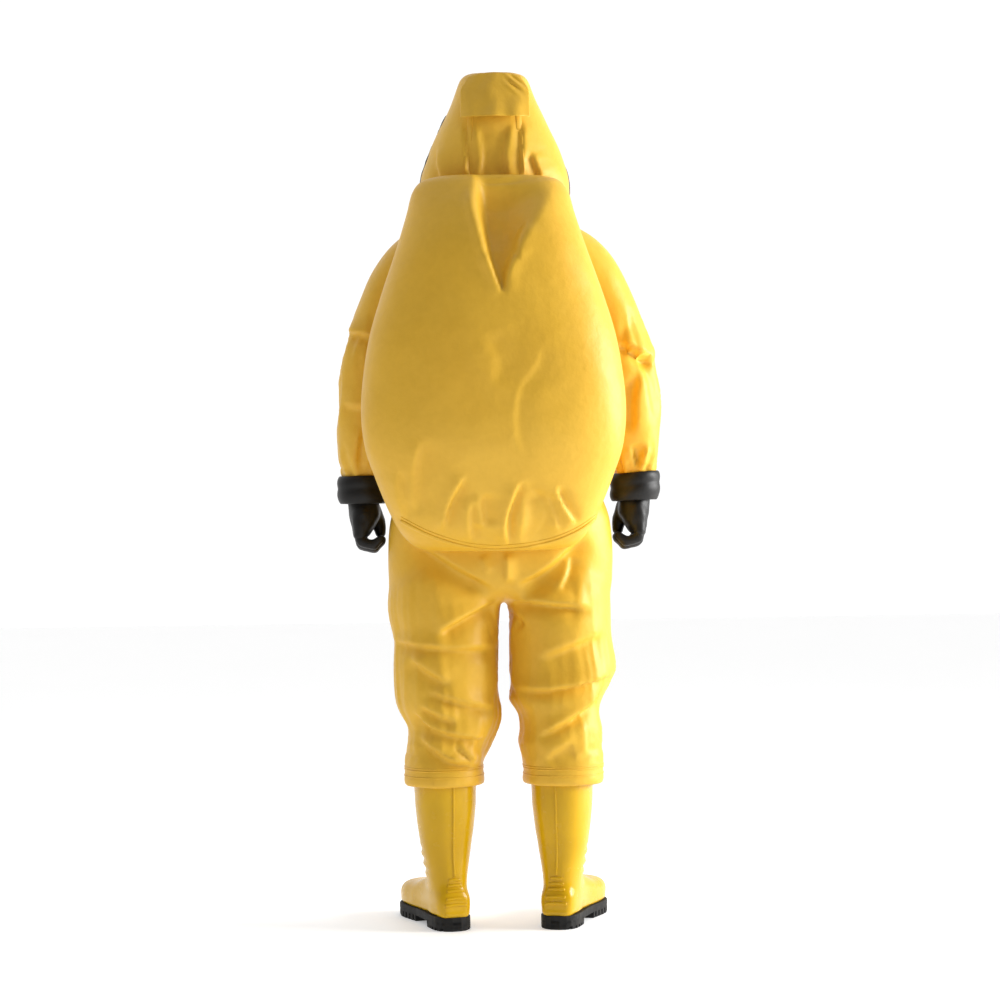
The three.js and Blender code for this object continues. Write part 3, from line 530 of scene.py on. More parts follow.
def draped(shell):
    """Lets long, loose sleeves and trouser legs settle under their own weight as cloth. Returns where each
    point was and how far it moved against its neighbours: the wrinkles without the overall sag."""
    scene = bpy.context.scene
    mesh = shell.data
    before = places_of(mesh)
    normals = places_of(mesh, "normal")
    x, z = abs(before[:, 0]), before[:, 2]
    in_sleeve = (x > sleeve_split(z)) & (z > 0.94) & (z < 1.45)
    gone = (~in_sleeve & (z > 0.83)) | (in_sleeve & (z > 1.42)) | (~in_sleeve & (z < 0.33))
    gone |= in_sleeve & (z < 0.97)

    def without_ends(thing):
        work = bmesh.new()
        work.from_mesh(thing.data)
        work.verts.ensure_lookup_table()
        doomed = [work.verts[int(i)] for i in np.nonzero(gone)[0]]
        bmesh.ops.delete(work, geom=doomed, context="VERTS")
        work.to_mesh(thing.data)
        work.free()

    form = bpy.data.objects.new("form", mesh.copy())
    scene.collection.objects.link(form)
    set_places(form.data, before - normals * 0.024)
    without_ends(form)
    thin = form.modifiers.new("thin", "DECIMATE")
    thin.ratio = 0.3
    applied(form)
    form.modifiers.new("collision", "COLLISION")
    form.collision.thickness_outer = 0.004
    form.collision.cloth_friction = 8

    without_ends(shell)
    mesh = shell.data
    start = places_of(mesh)
    out = places_of(mesh, "normal")
    start = start + out * (rumple(start, 0.09, 3) * 0.007)[:, None]
    shell.shape_key_add(name="basis")
    set_places(mesh, start)
    shell.data.shape_keys.key_blocks[0].data.foreach_set("co", start.ravel())
    slack = shell.shape_key_add(name="slack")
    x, z = abs(start[:, 0]), start[:, 2]
    sleeve = (x > sleeve_split(z)) & (z > 0.94)
    longer = start.copy()
    sleeve_slack = (np.clip(z, 0.97, 1.38) - 1.38) * 0.14
    leg_slack = (np.clip(z, 0.33, 0.80) - 0.80) * 0.15
    longer[:, 2] += np.where(sleeve, sleeve_slack, leg_slack)
    slack.data.foreach_set("co", longer.ravel())
    held = shell.vertex_groups.new(name="held")
    pinned = np.where(sleeve, (z > 1.36) | (z < 1.0), (z > 0.80) | (z < 0.352))
    held.add([int(i) for i in np.nonzero(pinned)[0]], 1.0, "REPLACE")

    cloth = shell.modifiers.new("cloth", "CLOTH")
    settings = cloth.settings
    settings.quality = 5
    settings.mass = 0.25
    settings.tension_stiffness = 25
    settings.compression_stiffness = 25
    settings.shear_stiffness = 12
    settings.bending_stiffness = 0.8
    settings.air_damping = 1.5
    settings.vertex_group_mass = "held"
    settings.rest_shape_key = slack
    settings.use_pressure = True
    settings.uniform_pressure_force = 0.35
    cloth.collision_settings.use_collision = True
    cloth.collision_settings.distance_min = 0.003
    cloth.collision_settings.use_self_collision = False
    scene.frame_start = 1
    scene.frame_end = 24
    for number in range(1, 21):
        scene.frame_set(number)
    graph = bpy.context.evaluated_depsgraph_get()
    settled = bpy.data.meshes.new_from_object(shell.evaluated_get(graph))
    moved = places_of(settled) - start
    drift = relaxed(moved, edges_of(shell.data), np.full(len(moved), 0.9), 16)
    moved = (moved - drift) * WRINKLE_GAIN
    length = np.maximum(np.linalg.norm(moved, axis=1), 1e-9)
    moved = moved * np.minimum(1, WRINKLE_LIMIT / length)[:, None]
    moved *= smoothstep(0.350, 0.400, start[:, 2])[:, None]
    scene.frame_set(1)
    bpy.data.objects.remove(form)
    bpy.data.objects.remove(shell)
    return start, moved


def carried_over(places, start, moved):
    """The settled movement at each point of a finer mesh."""
    tree = KDTree(len(start))
    for i, spot in enumerate(start):
        tree.insert(spot, i)
    tree.balance()
    result = np.zeros_like(places)
    for k, spot in enumerate(places):
        if spot[2] > 0.83 and abs(spot[0]) < 0.19:
            continue
        near = tree.find_n(spot, 4)
        if near[0][2] > 0.03:
            continue
        weights = np.array([1 / (gap + 0.002) ** 2 for _, _, gap in near])
        result[k] = weights @ moved[[i for _, i, _ in near]] / weights.sum()
    return result


def make_garment():
    """The shell with its settled wrinkles, placed folds, rumples and gathers."""
    garment = garment_shell(GARMENT_VOXEL)
    mesh = garment.data
    before = places_of(mesh)
    places = before
    trunk, sleeve, leg = regions(places)
    start, moved = draped(garment_shell(DRAPE_VOXEL))
    share = np.maximum(sleeve, LEG_WRINKLE_SHARE * leg)
    places = places + carried_over(places, start, moved) * share[:, None]
    set_places(mesh, places)
    normals = places_of(mesh, "normal")
    places = folded(places, normals, TRUNK_FOLDS, trunk)
    places = folded(places, normals, SLEEVE_FOLDS, sleeve)
    places = folded(places, normals, LEG_FOLDS, leg)
    places = places + normals * (rumple(places, 0.07, 1) * 0.0022)[:, None]
    places = gathered_at_cuffs(places, normals)
    set_places(mesh, legs_apart(places, before))
    return garment


def legs_apart(places, before):
    """Holds the insides of the two legs clear of each other below the crotch."""
    x = places[:, 0]
    left = before[:, 0] > LEG_GAP_X
    half = LEG_GAP_HALF * smoothstep(CROTCH_Z - 0.004, CROTCH_Z - 0.090, before[:, 2])
    clear = np.where(left, np.maximum(x, LEG_GAP_X + half), np.minimum(x, LEG_GAP_X - half))
    kept = places.copy()
    kept[:, 0] = np.where(before[:, 2] < CROTCH_Z - 0.004, clear, x)
    return kept


def gathered_at_cuffs(places, normals):
    """Small pleats round each sleeve where the cuff ring gathers it."""
    z = places[:, 2]
    around = np.arctan2(places[:, 1] - WEARER_Y + 0.028, abs(places[:, 0]) - 0.303)
    on_sleeve = abs(places[:, 0]) > sleeve_split(z)
    share = smoothstep(0.985, 1.008, z) * smoothstep(1.085, 1.015, z) * on_sleeve
    pleats = np.cos(9 * around + 0.8) + 0.6 * np.cos(14 * around + 2.0)
    return places + normals * (pleats * share * 0.0028)[:, None]


# ---- Cutting one shell into pieces that ride on different bodies ---------------------------------------
def cut_out(name, mesh, keep):
    """A piece of a mesh, shaded as the whole mesh is, so that its cut edges don't show."""
    faces = [tuple(face.vertices) for face, kept in zip(mesh.polygons, keep) if kept]
    used = sorted({i for face in faces for i in face})
    renumbered = {old: new for new, old in enumerate(used)}
    piece = new_object(name, places_of(mesh)[used], [tuple(renumbered[i] for i in face) for face in faces])
    normals = places_of(mesh, "normal")[used]
    piece.data.normals_split_custom_set_from_vertices(normals.tolist())
    return piece


def face_middles(mesh):
    flat = np.empty(len(mesh.polygons) * 3)
    mesh.polygons.foreach_get("center", flat)
    return flat.reshape(-1, 3)


def visor_opening(places):
    """Which points lie inside the visor's opening."""
    y, z = places[:, 1] - WEARER_Y, places[:, 2]
    back = -0.044 - 0.016 * (np.clip((z - 1.77) / 0.036, 0, 1) ** 2 + np.clip((1.64 - z) / 0.036, 0, 1) ** 2)
    return (y < back) & (z > 1.606) & (z < 1.804)


def split_garment(garment):
    """Cuts the shell into pieces that ride on a body or blend across a joint."""
    mesh = garment.data
    middles = face_middles(mesh)
    x, z = middles[:, 0], middles[:, 2]
    in_sleeve = (abs(x) > sleeve_split(z)) & (z > 0.94) & (z < ARMPIT_Z)
    in_leg = z < CROTCH_Z
    in_hood = (z > NECK_Z[1]) & ~in_sleeve
    in_neck = (z > NECK_Z[0]) & (z <= NECK_Z[1])
    rest = ~(in_sleeve | in_leg | in_hood | in_neck)
    pieces = {}
    pieces["torso_shell"] = cut_out("torso_shell", mesh, rest)
    pieces["neck_cloth"] = cut_out("neck_cloth", mesh, in_neck)
    pieces["hood_cloth"] = cut_out("hood_cloth", mesh, in_hood & ~visor_opening(middles))
    for side, sign in SIDES.items():
        mine = x * sign > 0
        upper = in_sleeve & mine & (z > SLEEVE_CUT_Z)
        lower = in_sleeve & mine & (z <= SLEEVE_CUT_Z)
        thigh = in_leg & mine & (z > LEG_CUT_Z)
        shin = in_leg & mine & (z <= LEG_CUT_Z)
        for part, keep in (("shoulder", upper), ("sleeve", lower), ("thigh", thigh), ("shin", shin)):
            name = f"{side}_{part}_cloth"
            pieces[name] = cut_out(name, mesh, keep)
    for piece in pieces.values():
        piece.data.materials.append(LOOKS["coated_fabric"])
    bpy.data.objects.remove(garment)

    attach(pieces["torso_shell"], "torso")
    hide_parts("left_front_panel", "right_front_panel", "seat_panel")
    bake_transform(pieces["neck_cloth"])
    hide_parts("neck_fabric")
    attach(pieces["hood_cloth"], "hood")
    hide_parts("hood_shell")
    for side, sign in SIDES.items():
        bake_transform(pieces[f"{side}_shoulder_cloth"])
        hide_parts(f"{side}_shoulder_fabric", f"{side}_upper_sleeve")
        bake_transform(pieces[f"{side}_sleeve_cloth"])
        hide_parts(f"{side}_elbow_fabric", f"{side}_forearm_sleeve")
        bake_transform(pieces[f"{side}_thigh_cloth"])
        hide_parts(f"{side}_hip_fabric", f"{side}_thigh_fabric")
        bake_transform(pieces[f"{side}_shin_cloth"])
        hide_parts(f"{side}_knee_fabric", f"{side}_shin_fabric", f"{side}_trouser_hem")
    return pieces


# ---- Back housing --------------------------------------------------------------------------------------
def make_housing():
    """The loose bag over the breathing apparatus, with its hollow, its folds and its sag."""
    housing = remeshed(new_object("back_housing", *loft(HOUSING_LINE, 96)), 0.0055)
    mesh = housing.data
    places = places_of(mesh)
    normals = places_of(mesh, "normal")
    x, z = places[:, 0], places[:, 2]
    back = np.clip(normals[:, 1] * 2, 0, 1)

    # A deep V-shaped hollow at the top, steep on the wearer's left and gentle on the right.
    left_edge = np.interp(z, [1.386, 1.470, 1.560, 1.645], [-0.016, 0.014, 0.034, 0.040])
    right_edge = np.interp(z, [1.386, 1.442, 1.575, 1.645], [-0.022, -0.048, -0.125, -0.150])
    t = np.clip((left_edge - x) / (left_edge - right_edge), 0, 1)
    bowl = smoothstep(0, 0.16, t) * (1 - smoothstep(0.35, 1, t))
    depth = 0.046 * smoothstep(1.380, 1.540, z) * (1 - 0.6 * smoothstep(1.585, 1.635, z))
    edge = np.exp(-(((x - left_edge - 0.010) / 0.012) ** 2)) * smoothstep(1.39, 1.45, z) * 0.007
    edge *= 1 - smoothstep(1.570, 1.625, z)
    move = (edge - bowl * depth) * back
    places = places + normals * move[:, None]

    # The cloth bags a little over the base seam.
    sag = np.exp(-(((z - 0.885) / 0.030) ** 2)) * back * 0.004
    places = places + normals * (sag + rumple(places, 0.11, 2) * 0.0022 * back)[:, None]
    places = folded(places, normals, HOUSING_FOLDS, back)
    places = relaxed(places, edges_of(mesh), np.full(len(places), 0.3), 1)
    places[:, 0] += HOUSING_SHIFT
    set_places(mesh, places)
    dressed(housing, "coated_fabric", "torso",
            "housing_top_panel", "housing_back_panel", "housing_base_panel")
    return housing


# ---- Bands, seams and sheets that follow a surface -----------------------------------------------------
def surface_of(*things):
    """A tree of the given pieces' surfaces to cast rays at."""
    points, faces = together([(places_of(thing.data), faces_of(thing.data)) for thing in things])
    return BVHTree.FromPolygons(points.tolist(), faces)


def cast(tree, spots, direction):
    """Where rays from the given spots meet the surface, and the surface's outward normals there."""
    direction = Vector(direction).normalized()
    found, ups = [], []
    for spot in spots:
        place, normal, _, _ = tree.ray_cast(Vector(spot), direction)
        if place is None:
            continue
        found.append(place)
        ups.append(-normal if normal.dot(direction) > 0 else normal)
    return found, ups


def cast_ring(tree, centre, z, count=96):
    """A closed ring of spots on a limb's surface at one height."""
    found, ups = [], []
    for k in range(count):
        angle = 2 * math.pi * k / count
        out = Vector((math.cos(angle), math.sin(angle), 0))
        place, normal, _, _ = tree.ray_cast(Vector((*centre, z)) + out * 0.3, -out)
        if place is not None:
            found.append(place)
            ups.append(-normal if normal.dot(out) < 0 else normal)
    return found, ups


BAND_SHAPE = [(-0.5, -0.4), (-0.5, 0.35), (-0.38, 0.9), (0.0, 1.0), (0.38, 0.9), (0.5, 0.35), (0.5, -0.4)]


def band(path, ups, width, thick, closed=False, shape=None):
    """A raised strip along a path on a surface, as points and faces."""
    shape = shape or BAND_SHAPE
    verts, faces = [], []
    count, around = len(path), len(shape)
    for k, (spot, up) in enumerate(zip(path, ups)):
        after = path[(k + 1) % count] if closed else path[min(k + 1, count - 1)]
        before = path[k - 1] if closed or k else path[0]
        ahead = (after - before).normalized()
        side = ahead.cross(up).normalized()
        verts += [list(spot + side * (a * width) + up * (h * thick)) for a, h in shape]
    for k in range(count if closed else count - 1):
        a, b = k * around, (k + 1) % count * around
        for i in range(around):
            j = (i + 1) % around
            faces.append((a + i, b + i, b + j, a + j))
    if not closed:
        faces.append(tuple(range(around)))
        faces.append(tuple(reversed(range((count - 1) * around, count * around))))
    return np.array(verts), faces


def thick_sheet(rows, thick):
    """A closed sheet of cloth from a grid of its middle's points."""
    rows = np.asarray(rows, float)
    along = np.gradient(rows, axis=0)
    across = np.gradient(rows, axis=1)
    normal = np.cross(across, along)
    normal /= np.linalg.norm(normal, axis=2, keepdims=True)
    high, wide = rows.shape[:2]
    outer = (rows + normal * thick / 2).reshape(-1, 3)
    inner = (rows - normal * thick / 2).reshape(-1, 3)
    points = np.concatenate([outer, inner])
    count = high * wide
    faces = []
    for r in range(high - 1):
        for c in range(wide - 1):
            a = r * wide + c
            faces.append((a, a + 1, a + wide + 1, a + wide))
            faces.append((count + a + wide, count + a + wide + 1, count + a + 1, count + a))
    rim = list(range(wide))
    rim += [r * wide + wide - 1 for r in range(1, high)]
    rim += [(high - 1) * wide + c for c in range(wide - 2, -1, -1)]
    rim += [r * wide for r in range(high - 2, 0, -1)]
    for k, a in enumerate(rim):
        b = rim[(k + 1) % len(rim)]
        faces.append((a, a + count, b + count, b))
    return points, faces


def dressed(piece, look, body, *replaced):
    """Gives a piece its look and slot, the body it rides on and the CAD nodes it stands for."""
    piece.data.materials.append(LOOKS[look])
    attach(piece, body)
    if replaced:
        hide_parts(*replaced)


def finished(name, shell, look, body, *replaced, subdivide=0, hard=False):
    """A finished piece that rides on a body and takes its material slot's look."""
    piece = new_object(name, *shell)
    work = bmesh.new()
    work.from_mesh(piece.data)
    bmesh.ops.recalc_face_normals(work, faces=work.faces[:])
    work.to_mesh(piece.data)
    work.free()
    if hard:
        piece.data.shade_flat()
        edge = piece.modifiers.new("edge", "BEVEL")
        edge.width = 0.0006
        edge.segments = 2
    if subdivide:
        finer = piece.modifiers.new("finer", "SUBSURF")
        finer.levels = finer.render_levels = subdivide
    dressed(piece, look, body, *replaced)
    return piece


# ---- Hood: flap over the exhaust valves, valves, seams, visor ------------------------------------------
FLAP_HINGE = (0.090, 1.878)  # y from the wearer's plane, and z
FLAP_HALF = 0.076
FLAP_LONG = 0.121
FLAP_TILT = math.radians(28)


def make_hood_flap():
    """A stiff flap sewn to the crown's back edge: narrower at its top, bowed round the hood, wavy below."""
    rows = []
    for v in np.linspace(-0.10, 1, 26):
        row = []
        for u in np.linspace(-1, 1, 29):
            half = FLAP_HALF * (0.74 + 0.26 * smoothstep(-0.05, 0.42, v))
            down = max(v, 0) * FLAP_LONG
            out = down * math.sin(FLAP_TILT) - 0.020 * u * u * (0.5 + 0.5 * max(v, 0))
            z = FLAP_HINGE[1] - down * math.cos(FLAP_TILT) - 0.007 * u * u * (1 - max(v, 0))
            y = FLAP_HINGE[0] + out + min(v, 0) * FLAP_LONG * 2.2
            pucker = math.exp(-(((u + 0.62) / 0.22) ** 2) - ((v - 0.26) / 0.18) ** 2)
            wave = 0.0022 * math.sin(9 * u + 1) * v * v + 0.006 * pucker * math.sin(24 * v + 16 * u)
            wave += 0.002 * noise.noise(Vector((u * 2.5, v * 2.5, 4.0)))
            row.append((u * half, y + WEARER_Y + wave, z + 0.004 - 0.003 * (v < 0)))
        rows.append(row)
    flap = new_object("hood_flap_cloth", *thick_sheet(rows, 0.0022))
    finer = flap.modifiers.new("finer", "SUBSURF")
    finer.levels = finer.render_levels = 1
    applied(flap)
    dressed(flap, "coated_fabric", "hood_flap", "hood_valve_flap")


def make_exhaust_valves():
    """Two round valves under the flap: a threaded base, a rubber disc and a cap with a rim."""
    tilt = math.radians(16)
    axis = Vector((0, math.cos(tilt), math.sin(tilt)))
    base = [(0.013, -0.006), (0.015, -0.006), (0.015, 0.0055), (0.021, 0.0055),
            (0.021, 0.008), (0.013, 0.008)]
    disc = [(0.0002, 0.0084), (0.015, 0.0084), (0.0152, 0.009), (0.015, 0.0096),
            (0.004, 0.0096), (0.003, 0.011), (0.0002, 0.011)]
    cap = [(0.0165, 0.0084), (0.0205, 0.0084), (0.0205, 0.0128), (0.0198, 0.0137), (0.018, 0.0155),
           (0.005, 0.0155), (0.005, 0.014), (0.0165, 0.014)]
    for side, sign in SIDES.items():
        seat = Vector((0.036 * sign, 0.1083 + WEARER_Y, 1.799))
        for part, profile, look, body in (
            ("base", base, "black_plastic", "hood"),
            ("disc", disc, "black_rubber", f"{side}_valve_disc"),
            ("cap", cap, "black_plastic", "hood"),
        ):
            name = f"{side}_exhaust_valve_{part}"
            finished(f"{side}_valve_{part}_turned", lathe(profile, seat, seat + axis), look, body, name)


def make_hood_seams(tree):
    """Taped seams down the hood's back."""
    strips = []
    for x_top, x_low in ((0.052, 0.066), (-0.050, -0.058)):
        z = np.linspace(1.795, 1.630, 34)
        spots = [(x, 0.5, height) for x, height in zip(np.linspace(x_top, x_low, 34), z)]
        strips.append(band(*cast(tree, spots, (0, -1, 0)), 0.013, 0.0012))
    finished("hood_back_seams", together(strips), "coated_fabric", "hood")


def front_arc(z, back, count, grow):
    """Spots across the hood's front at one height, from a limit on one side to the same on the other."""
    rows = through(BODY_LINE, 24)
    at = rows[np.argmin(abs(rows[:, 2] - z))]
    wide, front, square = at[3] + grow, at[4] + grow, at[6]
    low = math.asin(min(1.0, (abs(back) / front) ** (square / 2)))
    spots, ups = [], []
    for angle in np.linspace(-low, -math.pi + low, count):
        c, s = math.cos(angle), math.sin(angle)
        u = wide * np.sign(c) * abs(c) ** (2 / square)
        v = -front * abs(s) ** (2 / square)
        spots.append(Vector((u, v + WEARER_Y, z)))
        ups.append(Vector((u / wide**2, v / front**2, 0.003 * (z - 1.60) / 0.2 * 40)).normalized())
    return spots, ups


VISOR = {"back": -0.040, "low": 1.604, "high": 1.806, "corner": 0.030}


def visor_back(z, grow=0.0):
    """The visor's back edge at a height, with rounded corners."""
    low, high, corner = VISOR["low"] - grow, VISOR["high"] + grow, VISOR["corner"]
    over = max(0.0, low + corner - z, z - high + corner) / corner
    return VISOR["back"] + grow - corner * (1 - math.sqrt(max(0.0, 1 - min(over, 1) ** 2)))


def make_visor():
    """A clear lens bent round the hood's front, and the rubber frame along its edge."""
    heights = np.linspace(VISOR["low"] - 0.004, VISOR["high"] + 0.004, 40)
    rows = [[list(spot) for spot in front_arc(z, visor_back(z, 0.004), 60, 0.0010)[0]] for z in heights]
    lens = finished("visor_lens_film", thick_sheet(rows, 0.0018), "visor_film", "hood", "visor_lens")
    lens.data.shade_smooth()

    left, ups_left = [], []
    turns = VISOR["low"] + (VISOR["high"] - VISOR["low"]) * (0.5 - 0.5 * np.cos(np.linspace(0, math.pi, 40)))
    for z in turns:
        spots, ups = front_arc(z, visor_back(z), 3, 0.0004)
        left.append(spots[0])
        ups_left.append(ups[0])
    mirror = Matrix.Scale(-1, 3, (1, 0, 0))
    top, ups_top = front_arc(VISOR["high"], visor_back(VISOR["high"]), 60, 0.0004)
    low, ups_low = front_arc(VISOR["low"], visor_back(VISOR["low"]), 60, 0.0004)
    path = left + top[1:-1] + [mirror @ spot for spot in reversed(left)] + list(reversed(low[1:-1]))
    ups = ups_left + ups_top[1:-1] + [mirror @ up for up in reversed(ups_left)]
    ups += list(reversed(ups_low[1:-1]))
    rim = band(path, ups, 0.019, 0.0048, closed=True)
    finished("visor_frame_rubber", rim, "black_rubber", "hood", "visor_frame")


# ---- Zip in the front ----------------------------------------------------------------------------------
def make_zip(tree):
    """The woven tape down the front and two rows of teeth that meet in its middle."""
    low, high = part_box("zip_chain")
    heights = np.linspace(low.z, high.z, 90)
    path, ups = cast(tree, [(0, -0.6, z) for z in heights], (0, 1, 0))
    tape_shape = [(-0.5, -0.5), (-0.5, 0.3), (-0.46, 0.7), (0.46, 0.7), (0.5, 0.3), (0.5, -0.5)]
    tape = band(path, ups, 0.060, 0.0014, shape=tape_shape)
    finished("zip_tape_woven", tape, "zip_tape", "torso", "zip_tape")
    teeth = []
    pitch = 0.0036
    front = np.array([[spot.z, spot.y] for spot in path])
    for k in range(int((high.z - low.z) / pitch)):
        z = low.z + (k + 0.5) * pitch
        y = np.interp(z, front[:, 0], front[:, 1]) - 0.0022
        side = 1 if k % 2 else -1
        tooth = [(side * (0.0042 - 0.0018 * n), y, z + 0.0004 * n) for n in range(4)]
        teeth.append(tube(tooth, [0.0013, 0.0015, 0.0015, 0.0011], 6))
    finished("zip_teeth", together(teeth), "zip_metal", "torso", "zip_chain")


COVER_HINGE_X = 0.046
COVER_FREE_X = -0.044


def make_zip_cover(tree):
    """A long flap over the zip, sewn on the wearer's left, lifting a little along its free edge."""
    low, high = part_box("zip_cover_flap")
    rows = []
    for z in np.linspace(high.z, low.z, 110):
        row = []
        for t in np.linspace(0, 1, 13):
            x = COVER_HINGE_X + (COVER_FREE_X - COVER_HINGE_X) * t
            spots, _ = cast(tree, [(x, -0.6, z)], (0, 1, 0))
            lift = 0.0035 + 0.0080 * math.sin(math.pi * min(1, t * 1.25) ** 0.7) + 0.002 * t
            ripple = 0.0022 * t * math.sin(z * 31) + 0.0016 * noise.noise(Vector((x * 30, 0, z * 14)))
            row.append((x, spots[0].y - lift - ripple, z))
        rows.append(row)
    cover = new_object("zip_cover_cloth", *thick_sheet(rows, 0.0022))
    dressed(cover, "coated_fabric", "zip_cover_flap", "zip_cover_flap")
    spots = [(COVER_HINGE_X + 0.004, -0.6, z) for z in np.linspace(high.z + 0.004, low.z - 0.004, 90)]
    finished("zip_cover_seam", band(*cast(tree, spots, (0, 1, 0)), 0.016, 0.0014), "coated_fabric", "torso")


# ---- Gloves --------------------------------------------------------------------------------------------
WRIST_X = 0.305
WRIST_Y = -0.030
FINGERS = {
    "index": (-0.036, 0.000),
    "middle": (-0.012, -0.003),
    "ring": (0.012, -0.001),
    "little": (0.035, 0.004),
}  # each finger's place across the hand, and how much shorter it is
PALM_LINE = [
    limb(0.305, -0.030, 0.970, 0.032, 0.033, 0, 2),
    limb(0.305, -0.030, 0.952, 0.034, 0.036, 0, 2),
    limb(0.303, -0.030, 0.934, 0.035, 0.040),
    limb(0.301, -0.030, 0.912, 0.035, 0.045),
    limb(0.304, -0.030, 0.888, 0.027, 0.047),
    limb(0.309, -0.030, 0.866, 0.018, 0.042),
]


def make_glove(side, sign):
    """A half-closed glove: a palm with its thumb, and four curled fingers as a piece of their own."""
    def at(x, y, z):
        return (x * sign, y + WRIST_Y + WEARER_Y, z)

    palm = [loft(PALM_LINE if sign > 0 else mirrored(PALM_LINE), 40)]
    fingers = []
    for name, (y, reach) in FINGERS.items():
        slim = 0.9 if name == "little" else 1.0
        palm.append(capsule(at(0.306, 0.7 * y, 0.915), at(0.311, y, 0.869), 0.024, 0.0165 * slim))
        bones = (
            (at(0.310, y, 0.861), at(0.308, y, 0.850 + reach), 0.0140, 0.0135),
            (at(0.307, y, 0.849 + reach), at(0.280, y, 0.841 + reach), 0.0132, 0.0122),
            (at(0.281, y, 0.842 + reach), at(0.264, y, 0.856 + reach), 0.0122, 0.0105),
        )
        fingers += [capsule(root, tip, wide * slim, narrow * slim) for root, tip, wide, narrow in bones]
    palm.append(capsule(at(0.290, -0.026, 0.930), at(0.273, -0.040, 0.900), 0.024, 0.0175))
    palm.append(capsule(at(0.272, -0.040, 0.901), at(0.267, -0.040, 0.872), 0.0165, 0.0130))
    for name, shells, body, replaced, wrinkle in (
        ("palm", palm, f"{side}_hand", f"{side}_glove_palm", 0.0012),
        ("fingers", fingers, f"{side}_fingers", f"{side}_glove_fingers", 0.0007),
    ):
        piece = remeshed(new_object(f"{side}_{name}_rubber", *together(shells)), 0.0032)
        mesh = piece.data
        places = relaxed(places_of(mesh), edges_of(mesh), np.full(len(mesh.vertices), 0.55), 5)
        set_places(mesh, places)
        places = places + places_of(mesh, "normal") * (rumple(places, 0.018, 6) * wrinkle)[:, None]
        set_places(mesh, places)
        dressed(piece, "black_rubber", body, replaced)


def make_glove_cuff(side, sign):
    """The glove's gauntlet rolled over the cuff ring in two uneven lobes."""
    profile = [(0.0450, 0.940), (0.0468, 0.937), (0.0500, 0.938), (0.0530, 0.943), (0.0556, 0.949),
               (0.0570, 0.957), (0.0562, 0.965), (0.0545, 0.9705), (0.0556, 0.976), (0.0568, 0.983),
               (0.0560, 0.991), (0.0535, 0.997), (0.0500, 1.0005), (0.0468, 0.999), (0.0455, 0.994),
               (0.0450, 0.97)]
    foot = (WRIST_X * sign, WRIST_Y + WEARER_Y, 0)
    points, faces = lathe(profile, foot, (foot[0], foot[1], 1), 72)
    offset = points - np.array([foot[0], foot[1], 0])
    around = np.arctan2(offset[:, 1], offset[:, 0])
    roll = 0.0020 * np.sin(around + 1.2 * sign) + 0.0010 * np.sin(3 * around + 2)
    roll -= (0.006 if sign < 0 else 0.002) * np.cos(around)
    points[:, 2] += roll * smoothstep(0.0455, 0.055, np.hypot(offset[:, 0], offset[:, 1]))
    swell = 1 + 0.020 * rumple(points, 0.03, 8)
    points[:, :2] = np.array(foot[:2]) + offset[:, :2] * swell[:, None]
    finished(f"{side}_cuff_roll", (points, faces), "black_rubber", f"{side}_forearm",
             f"{side}_glove_cuff", subdivide=1)


# ---- Boots ---------------------------------------------------------------------------------------------
BOOT_X = 0.130
BOOT_Y = 0.030
TOE_OUT = math.radians(18)
SOLE_TOP = 0.030
FOOT_LOW = 0.018  # the foot's shell starts inside the sole
SHAFT_LINE = [
    (0, 0.008, 0.034, 0.040, 0.056, 0.056, 2.2, 0),
    (0, 0.007, 0.110, 0.043, 0.064, 0.055, 2.2, 0),
    (0, 0.004, 0.172, 0.054, 0.060, 0.056, 2.2, 0),
    (0, 0.002, 0.250, 0.064, 0.066, 0.069, 2.2, 0),
    (0, 0.001, 0.300, 0.067, 0.070, 0.073, 2.2, 0),
    (0, 0.000, 0.352, 0.069, 0.072, 0.074, 2.2, 0),
]
FOOT_LINE = [(0.0695, 0.022, 0.072), (0.058, 0.036, 0.094), (0.020, 0.041, 0.112), (-0.060, 0.0415, 0.108),
             (-0.120, 0.0475, 0.090), (-0.165, 0.0500, 0.086), (-0.195, 0.0460, 0.082),
             (-0.220, 0.0340, 0.070), (-0.233, 0.0180, 0.056)]  # y, half width and top, from heel to toe
SOLE_OUTLINE = [(0.0735, 0.010), (0.071, 0.020), (0.060, 0.033), (0.045, 0.0405), (0.025, 0.043),
                (-0.010, 0.0425), (-0.050, 0.0420), (-0.090, 0.0435), (-0.120, 0.0480), (-0.150, 0.0520),
                (-0.170, 0.0530), (-0.195, 0.0490), (-0.215, 0.0400), (-0.230, 0.0240),
                (-0.2385, 0.008)]  # y and half width, from heel to toe
LUG_EDGES = [0.0735, 0.063, 0.057, 0.047, 0.041, 0.031, 0.025, 0.015, 0.009, -0.012]
FORE_LUG_EDGES = [-0.092, -0.101, -0.107, -0.119, -0.125, -0.137, -0.143, -0.155, -0.161, -0.173, -0.179,
                  -0.191, -0.197, -0.209, -0.215, -0.236]


def turned_out(points, sign):
    """From a boot drawn with its toe towards -Y to its place under one leg."""
    c, s = math.cos(TOE_OUT), math.sin(TOE_OUT)
    x, y, z = np.asarray(points, float).T
    return np.stack([sign * (c * x - s * y + BOOT_X), s * x + c * y + BOOT_Y + WEARER_Y, z], 1)


def sole_half(y):
    outline = np.array(SOLE_OUTLINE)[::-1]
    return float(np.interp(y, outline[:, 0], outline[:, 1]))


